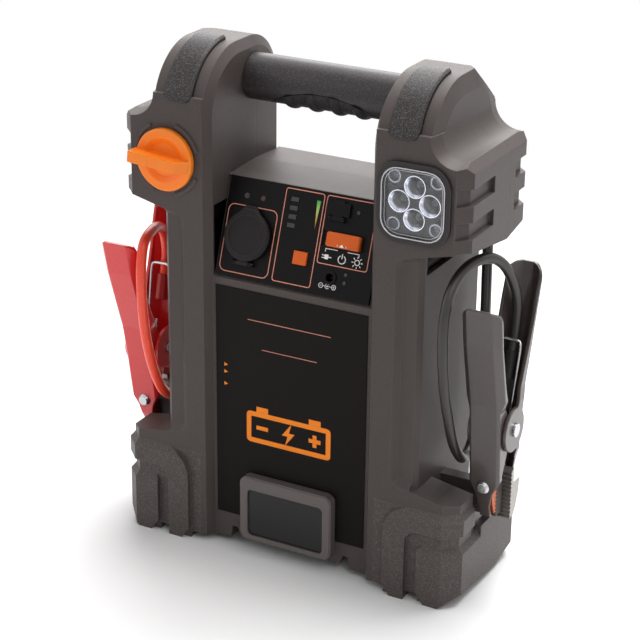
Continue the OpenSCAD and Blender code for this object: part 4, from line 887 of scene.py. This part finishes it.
def pale_paint():
    """The floor's material: pale under the object, and plain white to the camera further away."""
    material = bpy.data.materials.new("pale floor")
    material.use_nodes = True
    tree = material.node_tree
    surface = tree.nodes["Principled BSDF"]
    surface.inputs["Base Color"].default_value = (0.9, 0.9, 0.9, 1)
    surface.inputs["Roughness"].default_value = 0.7
    x, y, _ = object_xyz(tree)
    distance = math_node(tree, "SQRT", sum_of_squares(tree, x, y))
    past = math_node(tree, "SUBTRACT", distance, FADE_START)
    away = math_node(tree, "DIVIDE", past, FADE_LENGTH, clamp=True)
    white = tree.nodes.new("ShaderNodeEmission")
    white.inputs["Color"].default_value = (1, 1, 1, 1)
    blend = tree.nodes.new("ShaderNodeMixShader")
    seen = tree.nodes.new("ShaderNodeLightPath").outputs["Is Camera Ray"]
    tree.links.new(math_node(tree, "MULTIPLY", away, seen), blend.inputs[0])
    tree.links.new(surface.outputs[0], blend.inputs[1])
    tree.links.new(white.outputs[0], blend.inputs[2])
    tree.links.new(blend.outputs[0], tree.nodes["Material Output"].inputs["Surface"])
    return material


def white_room():
    """A world that lights softly and looks plain white."""
    world = bpy.data.worlds.new("studio")
    world.use_nodes = True
    bpy.context.scene.world = world
    tree = world.node_tree
    background = tree.nodes["Background"]
    background.inputs["Color"].default_value = (1, 1, 1, 1)
    path = tree.nodes.new("ShaderNodeLightPath")
    seen = math_node(tree, "MAXIMUM", path.outputs["Is Camera Ray"], path.outputs["Is Transmission Ray"])
    seen = math_node(tree, "MAXIMUM", seen, path.outputs["Is Glossy Ray"])
    # A mix node of plain values has them on sockets 2 and 3
    strength = tree.nodes.new("ShaderNodeMix")
    strength.inputs[2].default_value = ROOM_LIGHT
    strength.inputs[3].default_value = ROOM_SEEN
    tree.links.new(seen, strength.inputs[0])
    tree.links.new(strength.outputs[0], background.inputs["Strength"])


corners = [(sx * FLOOR_REACH, sy * FLOOR_REACH, 0) for sx, sy in ((-1, -1), (1, -1), (1, 1), (-1, 1))]
floor_mesh = bpy.data.meshes.new("floor")
floor_mesh.from_pydata(corners, [], [(0, 1, 2, 3)])
floor_mesh.materials.append(pale_paint())
floor = bpy.data.objects.new("floor", floor_mesh)
bpy.context.scene.collection.objects.link(floor)

soft_light("key", place=(1.3, -1.3, 1.8), aim=(0, 0, 0.18), size=(1.1, 1.1), power=9)
soft_light("fill", place=(-1.6, -1.0, 0.9), aim=(0, 0, 0.15), size=(1.4, 1.4), power=6)
soft_light("top", place=(0.2, 0.7, 2.0), aim=(0, 0, 0.2), size=(1.6, 1.6), power=65)
soft_light("rim", place=(-0.9, 1.7, 1.2), aim=(0, 0, 0.25), size=(1.4, 1.0), power=18)

white_room()
bpy.context.scene.view_settings.view_transform = "Standard"
